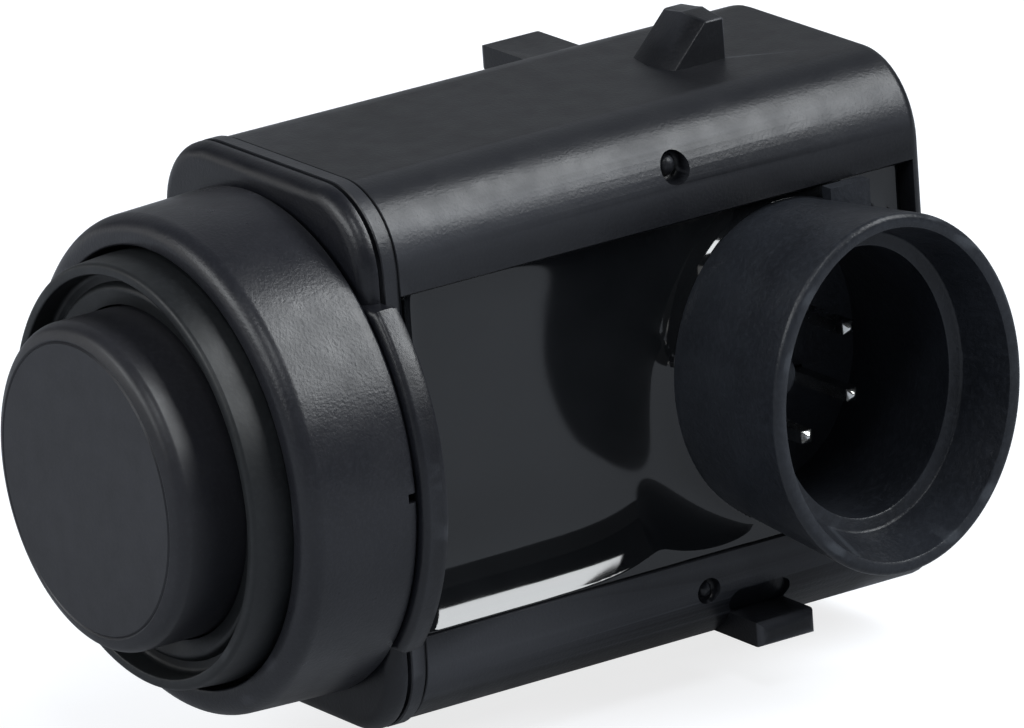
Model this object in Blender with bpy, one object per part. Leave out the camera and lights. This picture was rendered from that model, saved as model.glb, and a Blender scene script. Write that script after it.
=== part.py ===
"""Ultrasonic parking sensor, built as it comes apart on a bench.

The sensor axis lies along Y.  The membrane faces -Y, the potted tray lies behind the
cover towards +Y, and the connector mouth faces +X.  The origin is the centre of the
membrane's outer face.  All sizes are metres.
"""
import math

import bmesh
import bpy
from mathutils import Matrix, Vector

MM = 0.001

# Clearances
SEAT_GAP = 0.25 * MM           # between pieces that seat on each other
PARTING_GAP = 0.25 * MM        # the dark lines between the front pieces
OVERCUT = 1.0 * MM             # how far a cutter runs past what it cuts
EMBED = 0.4 * MM               # how far a moulded feature is rooted in its wall

# Facets
ROUND_STEPS = 48
HIDDEN_STEPS = 24
CORNER_STEPS = 8
EDGE_STEPS = 4
CREST_STEPS = 3
WIRE_ROUNDNESS = 2
SMOOTH_ANGLE = 30.0            # degrees; a sharper edge stays sharp
MERGE_DISTANCE = 0.001 * MM

# Directions in which an arc starts or ends, in degrees
RIGHT = 0.0
UP = 90.0
LEFT = 180.0
DOWN = 270.0
FULL_TURN = 360.0

# Transducer cup
POT_RADIUS = 7.75 * MM
POT_LENGTH = 8.75 * MM
POT_FACE_BEVEL = 0.75 * MM
POT_BEVEL_DEPTH = 0.60 * MM
MEMBRANE_THICK = 0.75 * MM
POT_SKIRT_WALL = 1.45 * MM
POT_BORE_DEPTH = 5.20 * MM
CAVITY_END_MARGIN = 0.60 * MM
CAVITY_SIDE_MARGIN = 2.40 * MM
PIEZO_MARGIN = 0.60 * MM
PIEZO_THICK = 0.40 * MM
PAD_THICK = 1.80 * MM
PLUG_THICK = 2.60 * MM
LEAD_RADIUS = 0.28 * MM
LEAD_SPREAD = 1.60 * MM
LEAD_FOOT = 1.20 * MM

# Silicone decoupling ring
CUSHION_THICK = 1.15 * MM
CUSHION_WIDTH = 2.40 * MM
SLEEVE_WALL = 0.80 * MM
CHANNEL_WIDTH = 0.65 * MM
CHANNEL_DEPTH = 2.85 * MM
LIP_WALL = 0.55 * MM
LIP_DRAFT = 0.15 * MM
LIP_ROUND_START = 225.0        # degrees, on the channel's side
LIP_ROUND_END = 350.0          # degrees, where the round runs into the drafted outside
RING_LENGTH = 7.60 * MM
SLEEVE_RIM = 0.20 * MM
RING_BODY_WALL = 0.20 * MM
RING_FLANGE_THICK = 0.80 * MM
RING_FLANGE_STEP = 0.38 * MM

# Retaining collar
COLLAR_LENGTH = 5.75 * MM
COLLAR_SHOULDER = 1.35 * MM
COLLAR_ROUND = 0.90 * MM
COLLAR_ROUND_END = 356.0       # degrees, where the round runs into the drafted skirt
COLLAR_DRAFT = 0.20 * MM
COLLAR_SKIRT_DEPTH = 3.70 * MM
COLLAR_NOTCH = 0.55 * MM

# Cover with the spigot that the collar snaps over
COVER_THICK = 0.85 * MM
COVER_ROUND = 0.80 * MM
SPIGOT_WALL = 0.70 * MM
SPIGOT_LENGTH = 2.75 * MM
SNAP_BITE = 0.15 * MM
SNAP_WIDTH = 0.50 * MM
SNAP_FROM_COVER = 1.45 * MM
EAR_TIP = 0.97 * MM
EAR_SHOULDER = 1.10 * MM
EAR_THICK = 1.17 * MM
EAR_STEP = 0.06 * MM
LEAD_HOLE_RADIUS = 4.00 * MM
COVER_RIM_DEPTH = 1.05 * MM
COVER_RIM_WALL = 1.00 * MM

# Tray housing
BODY_HALF_WIDTH = 8.30 * MM
BODY_HALF_HEIGHT = 12.95 * MM
BODY_CORNER = 3.70 * MM
BODY_LENGTH = 30.15 * MM
BODY_REAR_ROUND = 0.50 * MM
SIDE_WALL = 1.40 * MM
REAR_WALL = 0.75 * MM
RIM_THICK = 0.75 * MM
RIM_PROUD = 0.10 * MM
RIM_GROOVE = 0.15 * MM
WINDOW_HALF_HEIGHT = 8.00 * MM
WINDOW_SETBACK = 1.10 * MM
SHELF_HEIGHT = 3.30 * MM
SHELF_WIDTH = 1.30 * MM

# Latch wedges on the top and bottom walls
WEDGE_HALF_WIDTH = 1.55 * MM
WEDGE_START = 20.80 * MM
WEDGE_LENGTH = 3.10 * MM
WEDGE_RAMP = 1.90 * MM
WEDGE_HEIGHT = 2.15 * MM
WEDGE_RIDGE = 0.18 * MM
WEDGE_CREST = 0.30 * MM
WEDGE_RAMP_END = 130.0         # degrees, where the ramp runs into the round crest
WEDGE_REAR_END = 20.0          # degrees, where the crest runs into the rear face

# Side catches, one on each side wall, turned half round about the sensor axis
CATCH_START = 18.10 * MM
CATCH_LENGTH = 3.05 * MM
CATCH_PROUD = 1.55 * MM
CATCH_BASE = 0.40 * MM
CATCH_LAND = 1.20 * MM
CATCH_EDGE = 0.25 * MM
CATCH_POCKET_REACH = 0.45 * MM
CATCH_POCKET_HEIGHT = 1.60 * MM
CATCH_POCKET_DEPTH = 0.75 * MM
CATCH_POCKET_CORNER = 0.70 * MM
CATCH_POCKET_DRAFT = 0.40 * MM

# Gate dimples on the two corner rounds of the window side
GATE_FROM_FRONT = 16.50 * MM
GATE_RADIUS = 0.75 * MM
GATE_DEPTH = 1.15 * MM
UPPER_GATE_DROP = 2.30 * MM
LOWER_GATE_DROP = 2.80 * MM

# Connector insert
MOUTH_REACH = 7.60 * MM
SHROUD_BASE_Y = 6.70 * MM
SHROUD_BASE_Z = 7.75 * MM
SHROUD_RIM_Y = 6.97 * MM
SHROUD_RIM_Z = 8.60 * MM
SHROUD_WALL = 0.70 * MM
SHROUD_LEAN = 0.25 * MM
SHROUD_LIP = 0.30 * MM
LEDGE_DEPTH = 2.80 * MM
LEDGE_TAPER = 0.72 * MM
LEDGE_WIDTH = 0.70 * MM
SOCKET_DEPTH = 10.40 * MM
SOCKET_FLOOR = 3.00 * MM
KEY_HALF_WIDTH = 1.10 * MM
KEY_LENGTH = 3.60 * MM
KEY_HEIGHT = 4.00 * MM
LEG_RADIUS = 0.90 * MM
LEG_OFFSET_Y = 4.20 * MM
LEG_OFFSET_Z = 4.20 * MM
STOP_TAB_START = 1.75 * MM
STOP_TAB_LENGTH = 3.40 * MM
STOP_TAB_THICK = 0.70 * MM
STOP_TAB_OVERLAP = 0.45 * MM

# Contact pins
PIN_HALF = 0.32 * MM
PIN_TIP = 0.45 * MM
PIN_POINT_HALF = 0.16 * MM
PIN_BELOW_MOUTH = 5.70 * MM
PIN_TAIL = 0.80 * MM
PIN_ROW_Y = 1.34 * MM
PIN_LEAN = 0.34 * MM
PIN_WIDE_Z = 3.03 * MM
PIN_NARROW_Z = 1.62 * MM

# Potting and board
POTTING_RECESS = 1.00 * MM
BOARD_THICK = 1.00 * MM
BOARD_CORNER = 0.80 * MM
BOARD_SETBACK = 0.80 * MM

# Parts on the board: Y counts from the board's front edge, and an inset from its upper or
# lower edge to the part's middle
CHIP_Y = 12.30 * MM
CHIP_INSET = 3.70 * MM
CHIP_SIDE = 3.80 * MM
CHIP_THICK = 0.90 * MM
DIODE_Y = 3.40 * MM
DIODE_INSET = 6.60 * MM
DIODE_LENGTH = 2.70 * MM
DIODE_WIDTH = 1.60 * MM
DIODE_THICK = 1.00 * MM
CAPACITOR_COUNT = 2
CAPACITOR_Y = 7.00 * MM
CAPACITOR_INSET = 1.40 * MM
CAPACITOR_PITCH = 1.80 * MM
CAPACITOR_LENGTH = 2.00 * MM
CAPACITOR_WIDTH = 1.25 * MM
CAPACITOR_THICK = 1.00 * MM
RESISTOR_COUNT = 3
RESISTOR_Y = 10.80 * MM
RESISTOR_INSET = 1.50 * MM
RESISTOR_PITCH = 1.80 * MM
RESISTOR_LENGTH = 1.60 * MM
RESISTOR_WIDTH = 0.80 * MM
RESISTOR_THICK = 0.50 * MM
STORAGE_CAP_Y = 5.60 * MM
STORAGE_CAP_INSET = 2.60 * MM
STORAGE_CAP_RADIUS = 2.00 * MM
STORAGE_CAP_HEIGHT = 5.00 * MM
STORAGE_CAP_NECK = 0.25 * MM
STORAGE_CAP_NECK_RISE = 1.00 * MM
TRANSFORMER_Y = 6.80 * MM
TRANSFORMER_Z = 0.40 * MM
BOBBIN_RADIUS = 2.50 * MM
BOBBIN_HUB = 1.30 * MM
BOBBIN_BORE = 1.05 * MM
BOBBIN_FLANGE = 0.45 * MM
WINDING_RADIUS = 2.20 * MM
CORE_BAR = 0.90 * MM
CORE_DEPTH = 3.20 * MM
CORE_HEIGHT = 5.40 * MM

# Finishes: colour, roughness and metallic value
FINISHES = {
    "housing_plastic": ((0.035, 0.036, 0.042), 0.45, 0.0),
    "cover_plastic": ((0.034, 0.035, 0.040), 0.42, 0.0),
    "collar_plastic": ((0.036, 0.037, 0.043), 0.40, 0.0),
    "silicone": ((0.030, 0.031, 0.036), 0.55, 0.0),
    "coated_aluminium": ((0.048, 0.049, 0.056), 0.50, 0.3),
    "piezo_ceramic": ((0.62, 0.60, 0.52), 0.50, 0.0),
    "felt": ((0.35, 0.34, 0.31), 0.95, 0.0),
    "backing_silicone": ((0.55, 0.55, 0.53), 0.60, 0.0),
    "red_insulation": ((0.45, 0.05, 0.04), 0.50, 0.0),
    "black_insulation": ((0.04, 0.04, 0.05), 0.50, 0.0),
    "insert_plastic": ((0.040, 0.041, 0.047), 0.50, 0.0),
    "tin": ((0.80, 0.80, 0.78), 0.25, 1.0),
    "board_laminate": ((0.05, 0.20, 0.09), 0.40, 0.0),
    "chip_resin": ((0.02, 0.02, 0.02), 0.50, 0.0),
    "capacitor_ceramic": ((0.45, 0.30, 0.18), 0.50, 0.0),
    "resistor_film": ((0.05, 0.05, 0.06), 0.50, 0.0),
    "capacitor_can": ((0.70, 0.70, 0.70), 0.30, 1.0),
    "ferrite": ((0.06, 0.055, 0.05), 0.60, 0.0),
    "bobbin_plastic": ((0.10, 0.10, 0.10), 0.50, 0.0),
    "copper_wire": ((0.60, 0.25, 0.10), 0.35, 1.0),
    "potting_resin": ((0.012, 0.012, 0.014), 0.12, 0.0),
}

# Derived places along the sensor axis
MEMBRANE_BACK = MEMBRANE_THICK
BORE_FLOOR = POT_LENGTH - POT_BORE_DEPTH
CUSHION_FRONT = POT_LENGTH + SEAT_GAP
RING_BACK = CUSHION_FRONT + CUSHION_THICK
RING_FRONT = RING_BACK - RING_LENGTH
COVER_FRONT = RING_BACK + SEAT_GAP
COVER_BACK = COVER_FRONT + COVER_THICK
SNAP_Y = COVER_FRONT - SNAP_FROM_COVER
COLLAR_BACK = COVER_FRONT - PARTING_GAP
COLLAR_FRONT = COLLAR_BACK - COLLAR_LENGTH
COLLAR_STEP = COLLAR_BACK - COLLAR_SKIRT_DEPTH
BODY_FRONT = COVER_BACK + SEAT_GAP
BODY_REAR = BODY_FRONT + BODY_LENGTH
CAVITY_REAR = BODY_REAR - REAR_WALL
WINDOW_FRONT = BODY_FRONT + WINDOW_SETBACK
COVER_RIM_BACK = COVER_BACK + COVER_RIM_DEPTH
BOARD_FRONT = COVER_RIM_BACK + BOARD_SETBACK
BOARD_REAR = CAVITY_REAR - SEAT_GAP

# Derived radii about the sensor axis
POT_BORE_RADIUS = POT_RADIUS - POT_SKIRT_WALL
CAVITY_HALF_LENGTH = POT_BORE_RADIUS - CAVITY_END_MARGIN
CAVITY_HALF_WIDTH = POT_BORE_RADIUS - CAVITY_SIDE_MARGIN
PIEZO_RADIUS = CAVITY_HALF_WIDTH - PIEZO_MARGIN
SLEEVE_IN = POT_RADIUS + SEAT_GAP
CUSHION_BORE = SLEEVE_IN - CUSHION_WIDTH
SLEEVE_OUT = SLEEVE_IN + SLEEVE_WALL
CHANNEL_OUT = SLEEVE_OUT + CHANNEL_WIDTH
RING_RIM = CHANNEL_OUT + LIP_WALL
RING_OUT = RING_RIM + LIP_DRAFT
RING_BODY_RADIUS = CHANNEL_OUT + RING_BODY_WALL
COLLAR_BORE = RING_OUT + PARTING_GAP
COLLAR_FRONT_RADIUS = COLLAR_BORE + COLLAR_SHOULDER
COLLAR_BACK_RADIUS = COLLAR_FRONT_RADIUS + COLLAR_DRAFT
SPIGOT_IN = RING_BODY_RADIUS + SEAT_GAP
SPIGOT_OUT = SPIGOT_IN + SPIGOT_WALL
COLLAR_SKIRT_BORE = SPIGOT_OUT + SEAT_GAP
SNAP_BEAD = SPIGOT_OUT - SNAP_BITE
SNAP_GROOVE = SNAP_BEAD - SEAT_GAP
EAR_TIP_X = BODY_HALF_WIDTH + RIM_PROUD + EAR_TIP
EAR_HALF_HEIGHT = BODY_HALF_HEIGHT - BODY_CORNER - EAR_SHOULDER
EAR_RADIUS = math.hypot(EAR_TIP_X, EAR_HALF_HEIGHT)

# Derived places across the tray
CAVITY_HALF_X = BODY_HALF_WIDTH - SIDE_WALL
CAVITY_HALF_Z = BODY_HALF_HEIGHT - SIDE_WALL
CAVITY_CORNER = BODY_CORNER - SIDE_WALL
SHELF_X = -CAVITY_HALF_X + SHELF_HEIGHT
BOARD_BACK_X = SHELF_X + SEAT_GAP
BOARD_TOP_X = BOARD_BACK_X + BOARD_THICK
BOARD_HALF_Z = CAVITY_HALF_Z - SEAT_GAP
PART_SEAT_X = BOARD_TOP_X + SEAT_GAP
POTTING_FACE_X = BODY_HALF_WIDTH - POTTING_RECESS
MOUTH_X = BODY_HALF_WIDTH + MOUTH_REACH
SOCKET_FLOOR_X = MOUTH_X - SOCKET_DEPTH
SHROUD_BASE_X = SOCKET_FLOOR_X - SOCKET_FLOOR
SHROUD_CENTRE_Y = CAVITY_REAR - SEAT_GAP - SHROUD_BASE_Y
MOUTH_CENTRE_Y = SHROUD_CENTRE_Y + SHROUD_LEAN
PIN_CENTRE_Y = SHROUD_CENTRE_Y + PIN_LEAN
PIN_PLACES = (
    (PIN_CENTRE_Y - PIN_ROW_Y, PIN_WIDE_Z),
    (PIN_CENTRE_Y + PIN_ROW_Y, PIN_NARROW_Z),
    (PIN_CENTRE_Y + PIN_ROW_Y, -PIN_NARROW_Z),
    (PIN_CENTRE_Y - PIN_ROW_Y, -PIN_WIDE_Z),
)


def clear_scene():
    """Remove whatever the file holds before the sensor is built."""
    for item in list(bpy.data.objects):
        bpy.data.objects.remove(item, do_unlink=True)


def principled(name, finish):
    """A Principled material for one piece, in one of the finishes."""
    colour, roughness, metallic = FINISHES[finish]
    material = bpy.data.materials.new(name)
    material.use_nodes = True
    shader = material.node_tree.nodes["Principled BSDF"]
    shader.inputs["Base Color"].default_value = (*colour, 1.0)
    shader.inputs["Roughness"].default_value = roughness
    shader.inputs["Metallic"].default_value = metallic
    material.diffuse_color = (*colour, 1.0)
    return material


def arc(centre, radius, start, end, steps):
    """Points on a circular arc in a plane, angles in degrees."""
    centre_u, centre_v = centre
    points = []
    for i in range(steps + 1):
        angle = math.radians(start + (end - start) * i / steps)
        points.append((centre_u + radius * math.cos(angle), centre_v + radius * math.sin(angle)))
    return points


def rounded_rect(half_u, half_v, radius, steps=CORNER_STEPS):
    """A rectangle with round corners, counter-clockwise."""
    radius = min(radius, half_u, half_v)
    in_u = half_u - radius
    in_v = half_v - radius
    outline = arc((in_u, in_v), radius, RIGHT, UP, steps)
    outline += arc((-in_u, in_v), radius, UP, LEFT, steps)
    outline += arc((-in_u, -in_v), radius, LEFT, DOWN, steps)
    outline += arc((in_u, -in_v), radius, DOWN, FULL_TURN, steps)
    return outline


def rectangle(lo_u, hi_u, lo_v, hi_v):
    """A plain rectangle, counter-clockwise."""
    return [(lo_u, lo_v), (hi_u, lo_v), (hi_u, hi_v), (lo_u, hi_v)]


def square(centre, half):
    """A square about a centre."""
    centre_u, centre_v = centre
    return rectangle(centre_u - half, centre_u + half, centre_v - half, centre_v + half)


def ellipse(centre, half_u, half_v, steps=ROUND_STEPS):
    """An oval about a centre, counter-clockwise."""
    outline = arc((0.0, 0.0), 1.0, RIGHT, FULL_TURN, steps)[:-1]
    centre_u, centre_v = centre
    return [(centre_u + half_u * u, centre_v + half_v * v) for u, v in outline]


def circle(centre, radius, steps):
    """A round outline about a centre."""
    return ellipse(centre, radius, radius, steps)


def stadium(half_u, half_v, steps=CORNER_STEPS):
    """A slot with round ends, its long way along V."""
    reach = max(half_v - half_u, 0.0)
    outline = arc((0.0, reach), half_u, RIGHT, LEFT, 2 * steps)
    outline += arc((0.0, -reach), half_u, LEFT, FULL_TURN, 2 * steps)
    return outline


def lift(outline, place, axis):
    """Set a flat outline at a place on the X or Y axis; its V always runs up Z."""
    if axis == "Y":
        return [Vector((u, place, v)) for u, v in outline]
    return [Vector((place, u, v)) for u, v in outline]


def loft(rings):
    """A closed solid through rings of equal point count, capped at both ends."""
    bm = bmesh.new()
    loops = [[bm.verts.new(point) for point in ring] for ring in rings]
    count = len(loops[0])
    for near, far in zip(loops, loops[1:]):
        for i in range(count):
            j = (i + 1) % count
            bm.faces.new((near[i], near[j], far[j], far[i]))
    bm.faces.new(loops[0])
    bm.faces.new(loops[-1])
    return close(bm)


def hoop(rings):
    """A closed ring-shaped solid: the last ring joins the first."""
    bm = bmesh.new()
    loops = [[bm.verts.new(point) for point in ring] for ring in rings]
    count = len(loops[0])
    for near, far in zip(loops, loops[1:] + loops[:1]):
        for i in range(count):
            j = (i + 1) % count
            bm.faces.new((near[i], near[j], far[j], far[i]))
    return close(bm)


def prism(outline, low, high, axis):
    """An outline extruded along the X or Y axis."""
    bm = bmesh.new()
    base = bm.faces.new([bm.verts.new(point) for point in lift(outline, low, axis)])
    grown = bmesh.ops.extrude_face_region(bm, geom=[base])
    step = Vector((0.0, high - low, 0.0)) if axis == "Y" else Vector((high - low, 0.0, 0.0))
    moved = [item for item in grown["geom"] if isinstance(item, bmesh.types.BMVert)]
    bmesh.ops.translate(bm, verts=moved, vec=step)
    return close(bm)


def revolve(profile, steps=ROUND_STEPS):
    """A closed profile of (radius, y) points turned about the sensor axis."""
    bm = bmesh.new()
    verts = [bm.verts.new((radius, y, 0.0)) for radius, y in profile]
    edges = [bm.edges.new(pair) for pair in zip(verts, verts[1:] + verts[:1])]
    on_axis = [edge for edge in edges if all(vert.co.x < MERGE_DISTANCE for vert in edge.verts)]
    bmesh.ops.delete(bm, geom=on_axis, context="EDGES")
    bmesh.ops.spin(bm, geom=bm.verts[:] + bm.edges[:], cent=(0, 0, 0), axis=(0, 1, 0),
                   angle=math.radians(FULL_TURN), steps=steps, use_merge=True)
    bmesh.ops.remove_doubles(bm, verts=bm.verts, dist=MERGE_DISTANCE)
    return close(bm)


def close(bm):
    """Turn every face out."""
    bmesh.ops.recalc_face_normals(bm, faces=bm.faces)
    return bm


def merge(*meshes):
    """Several separate shells in one mesh, for a tool with many like cutters."""
    whole = bmesh.new()
    for bm in meshes:
        shell = bpy.data.meshes.new("shell")
        bm.to_mesh(shell)
        bm.free()
        whole.from_mesh(shell)
        bpy.data.meshes.remove(shell)
    return whole


def turned_half(bm):
    """Turn a solid by half a turn about the sensor axis."""
    bmesh.ops.transform(bm, matrix=Matrix.Rotation(math.radians(LEFT), 4, "Y"), verts=bm.verts)
    return bm


def stand_on_board(bm, centre):
    """Turn a solid made about the sensor axis so that it stands on the board."""
    y, z = centre
    turn = Matrix.Rotation(-math.radians(UP), 4, "Z")
    bmesh.ops.transform(bm, matrix=Matrix.Translation((0.0, y, z)) @ turn, verts=bm.verts)
    return bm


def place(name, bm, material):
    """Make the piece's object, shaded smooth except at its sharp edges."""
    mesh = bpy.data.meshes.new(name)
    bm.to_mesh(mesh)
    bm.free()
    mesh.shade_smooth()
    mesh.set_sharp_from_angle(angle=math.radians(SMOOTH_ANGLE))
    mesh.materials.append(material)
    item = bpy.data.objects.new(name, mesh)
    bpy.context.scene.collection.objects.link(item)
    return item


def tool(name, bm):
    """A hidden solid that a Boolean reads."""
    mesh = bpy.data.meshes.new(name)
    bm.to_mesh(mesh)
    bm.free()
    item = bpy.data.objects.new(name, mesh)
    item.hide_render = True
    item.display_type = "WIRE"
    bpy.context.scene.collection.objects.link(item)
    return item


def combine(target, operation, name, bm, crossing=False):
    """Join a solid to the piece or cut it away; crossing says that its shells may cross."""
    modifier = target.modifiers.new(name, "BOOLEAN")
    modifier.operation = operation
    modifier.solver = "EXACT"
    modifier.use_self = crossing
    modifier.object = tool(name, bm)


def body_section(y, proud=0.0):
    """The tray's outer section at one place along the axis, grown or shrunk by proud."""
    outline = rounded_rect(BODY_HALF_WIDTH + proud, BODY_HALF_HEIGHT + proud, BODY_CORNER + proud)
    return lift(outline, y, "Y")


def cavity_outline():
    """The tray's inner section: shelves for the board on the back wall, lips at the window."""
    shelf_z = CAVITY_HALF_Z - SHELF_WIDTH
    centre = (CAVITY_HALF_X - CAVITY_CORNER, CAVITY_HALF_Z - CAVITY_CORNER)
    upper = arc(centre, CAVITY_CORNER, RIGHT, UP, CORNER_STEPS)
    upper += [(SHELF_X, CAVITY_HALF_Z), (SHELF_X, shelf_z), (-CAVITY_HALF_X, shelf_z)]
    lower = [(x, -z) for x, z in reversed(upper)]
    return upper + lower


def build_housing():
    """The moulded tray with its window, latch wedges, side catches and gate dimples."""
    rim_back = BODY_FRONT + RIM_THICK
    groove_back = rim_back + RIM_GROOVE
    rings = [
        body_section(BODY_FRONT, RIM_PROUD),
        body_section(rim_back, RIM_PROUD),
        body_section(rim_back, -RIM_PROUD),
        body_section(groove_back, -RIM_PROUD),
        body_section(groove_back),
    ]
    rear_centre = (-BODY_REAR_ROUND, BODY_REAR - BODY_REAR_ROUND)
    for proud, y in arc(rear_centre, BODY_REAR_ROUND, RIGHT, UP, EDGE_STEPS):
        rings.append(body_section(y, proud))
    housing = place("housing", loft(rings), principled("housing_black", "housing_plastic"))
    cavity = prism(cavity_outline(), BODY_FRONT - OVERCUT, CAVITY_REAR, "Y")
    combine(housing, "DIFFERENCE", "cavity_core", cavity)
    window = rectangle(WINDOW_FRONT, CAVITY_REAR, -WINDOW_HALF_HEIGHT, WINDOW_HALF_HEIGHT)
    combine(housing, "DIFFERENCE", "window_core",
            prism(window, CAVITY_HALF_X - SIDE_WALL, BODY_HALF_WIDTH + OVERCUT, "X"))
    wedges = merge(latch_wedge(), turned_half(latch_wedge()))
    combine(housing, "UNION", "latch_wedges", wedges)
    catches = merge(side_catch(), turned_half(side_catch()))
    combine(housing, "UNION", "side_catches", catches)
    pockets = merge(catch_pocket(), turned_half(catch_pocket()))
    combine(housing, "DIFFERENCE", "catch_pockets", pockets)
    upper_gate = gate_dimple(BODY_HALF_HEIGHT - UPPER_GATE_DROP)
    lower_gate = gate_dimple(LOWER_GATE_DROP - BODY_HALF_HEIGHT)
    combine(housing, "DIFFERENCE", "gate_dimples", merge(upper_gate, lower_gate))


def latch_wedge():
    """A ramp that rises towards the rear, with a ridge along its middle and a round crest."""
    start = BODY_FRONT + WEDGE_START
    rear = start + WEDGE_LENGTH
    root = BODY_HALF_HEIGHT - EMBED
    rings = []
    for x, drop in ((-WEDGE_HALF_WIDTH, WEDGE_RIDGE), (0.0, 0.0), (WEDGE_HALF_WIDTH, WEDGE_RIDGE)):
        middle = BODY_HALF_HEIGHT + WEDGE_HEIGHT - drop - WEDGE_CREST
        front_centre = (start + WEDGE_RAMP + WEDGE_CREST, middle)
        rear_centre = (rear - 2.0 * WEDGE_CREST, middle)
        side = [(start - EMBED, root)]
        side += arc(front_centre, WEDGE_CREST, WEDGE_RAMP_END, UP, CREST_STEPS)
        side += arc(rear_centre, WEDGE_CREST, UP, WEDGE_REAR_END, CREST_STEPS)
        side += [(rear, root)]
        rings.append([Vector((x, y, z)) for y, z in side])
    return loft(rings)


def side_catch():
    """A catch on the -X wall near the top, with a flat land and softened outer edges."""
    top = BODY_HALF_HEIGHT - CATCH_BASE
    outer = BODY_HALF_WIDTH + CATCH_PROUD
    inner = BODY_HALF_WIDTH - BODY_CORNER
    start = BODY_FRONT + CATCH_START
    rear = start + CATCH_LENGTH
    stations = (
        (start, CATCH_EDGE),
        (start + CATCH_EDGE, 0.0),
        (rear - CATCH_EDGE, 0.0),
        (rear, CATCH_EDGE),
    )
    rings = []
    for y, inset in stations:
        outline = [
            (-inner, top - inset),
            (-outer + CATCH_EDGE + inset, top - inset),
            (-outer + inset, top - CATCH_EDGE - inset),
            (-outer + inset, top - CATCH_LAND),
            (-inner, top - CATCH_LAND),
        ]
        rings.append(lift(outline, y, "Y"))
    return loft(rings)


def catch_pocket():
    """The drafted relief in the side wall under the catch's land, with round corners."""
    half_y = 0.5 * CATCH_LENGTH + CATCH_POCKET_REACH
    half_z = 0.5 * CATCH_POCKET_HEIGHT
    centre_y = BODY_FRONT + CATCH_START + 0.5 * CATCH_LENGTH
    centre_z = BODY_HALF_HEIGHT - CATCH_BASE - CATCH_LAND - half_z
    stations = (
        (-BODY_HALF_WIDTH - OVERCUT, 0.0),
        (-BODY_HALF_WIDTH, 0.0),
        (CATCH_POCKET_DEPTH - BODY_HALF_WIDTH, CATCH_POCKET_DRAFT),
    )
    rings = []
    for x, inset in stations:
        outline = rounded_rect(half_y - inset, half_z - inset, CATCH_POCKET_CORNER - inset)
        rings.append(lift([(centre_y + u, centre_z + v) for u, v in outline], x, "X"))
    return loft(rings)


def gate_dimple(height):
    """A blind round recess in the corner round above or below the window."""
    ring = circle((BODY_FRONT + GATE_FROM_FRONT, height), GATE_RADIUS, HIDDEN_STEPS)
    return prism(ring, BODY_HALF_WIDTH - GATE_DEPTH, BODY_HALF_WIDTH + OVERCUT, "X")


def cover_outline(inset):
    """The tray's section with a round ear on each side, shrunk by inset."""
    half_x = BODY_HALF_WIDTH + RIM_PROUD - inset
    half_z = BODY_HALF_HEIGHT + RIM_PROUD - inset
    corner = BODY_CORNER + RIM_PROUD - inset
    ear_z = EAR_HALF_HEIGHT - inset
    ear_radius = EAR_RADIUS - inset
    ear_angle = math.degrees(math.asin(ear_z / ear_radius))
    ear = arc((0.0, 0.0), ear_radius, -ear_angle, ear_angle, 2 * CORNER_STEPS)
    upper = [(half_x, ear_z)]
    upper += arc((half_x - corner, half_z - corner), corner, RIGHT, UP, CORNER_STEPS)
    upper_left = [(-x, z) for x, z in reversed(upper)]
    half = ear + upper + upper_left
    return half + [(-x, -z) for x, z in half]


def build_cover():
    """The cover plate with ears, the spigot for the collar and a rim that enters the tray."""
    rings = []
    front_centre = (COVER_ROUND, COVER_FRONT + COVER_ROUND)
    for inset, y in arc(front_centre, COVER_ROUND, DOWN, LEFT, EDGE_STEPS):
        rings.append(lift(cover_outline(inset), y, "Y"))
    rings.append(lift(cover_outline(0.0), COVER_BACK, "Y"))
    cover = place("front_cover", loft(rings), principled("cover_black", "cover_plastic"))
    combine(cover, "UNION", "ear_backs", merge(ear_back(), turned_half(ear_back())))
    tip = COVER_FRONT - SPIGOT_LENGTH
    root = COVER_FRONT + EMBED
    half_snap = 0.5 * SNAP_WIDTH + SEAT_GAP
    slope = SPIGOT_OUT - SNAP_GROOVE
    spigot = [
        (SPIGOT_IN, root),
        (SPIGOT_IN, tip),
        (SPIGOT_OUT - SNAP_BITE, tip),
        (SPIGOT_OUT, tip + SNAP_BITE),
        (SPIGOT_OUT, SNAP_Y - half_snap - 0.5 * slope),
        (SNAP_GROOVE, SNAP_Y - half_snap + 0.5 * slope),
        (SNAP_GROOVE, SNAP_Y + half_snap - 0.5 * slope),
        (SPIGOT_OUT, SNAP_Y + half_snap + 0.5 * slope),
        (SPIGOT_OUT, root),
    ]
    combine(cover, "UNION", "collar_spigot", revolve(spigot))
    half_x = CAVITY_HALF_X - SEAT_GAP
    half_z = CAVITY_HALF_Z - SHELF_WIDTH - SEAT_GAP
    outer = rounded_rect(half_x, half_z, CAVITY_CORNER)
    inner = rounded_rect(half_x - COVER_RIM_WALL, half_z - COVER_RIM_WALL,
                         CAVITY_CORNER - COVER_RIM_WALL)
    root = COVER_BACK - EMBED
    rim = hoop([lift(outer, root, "Y"), lift(outer, COVER_RIM_BACK, "Y"),
                lift(inner, COVER_RIM_BACK, "Y"), lift(inner, root, "Y")])
    combine(cover, "UNION", "tray_rim", rim)
    hole = circle((0.0, 0.0), LEAD_HOLE_RADIUS, HIDDEN_STEPS)
    combine(cover, "DIFFERENCE", "lead_hole",
            prism(hole, COVER_FRONT - OVERCUT, COVER_BACK + OVERCUT, "Y"))


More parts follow.
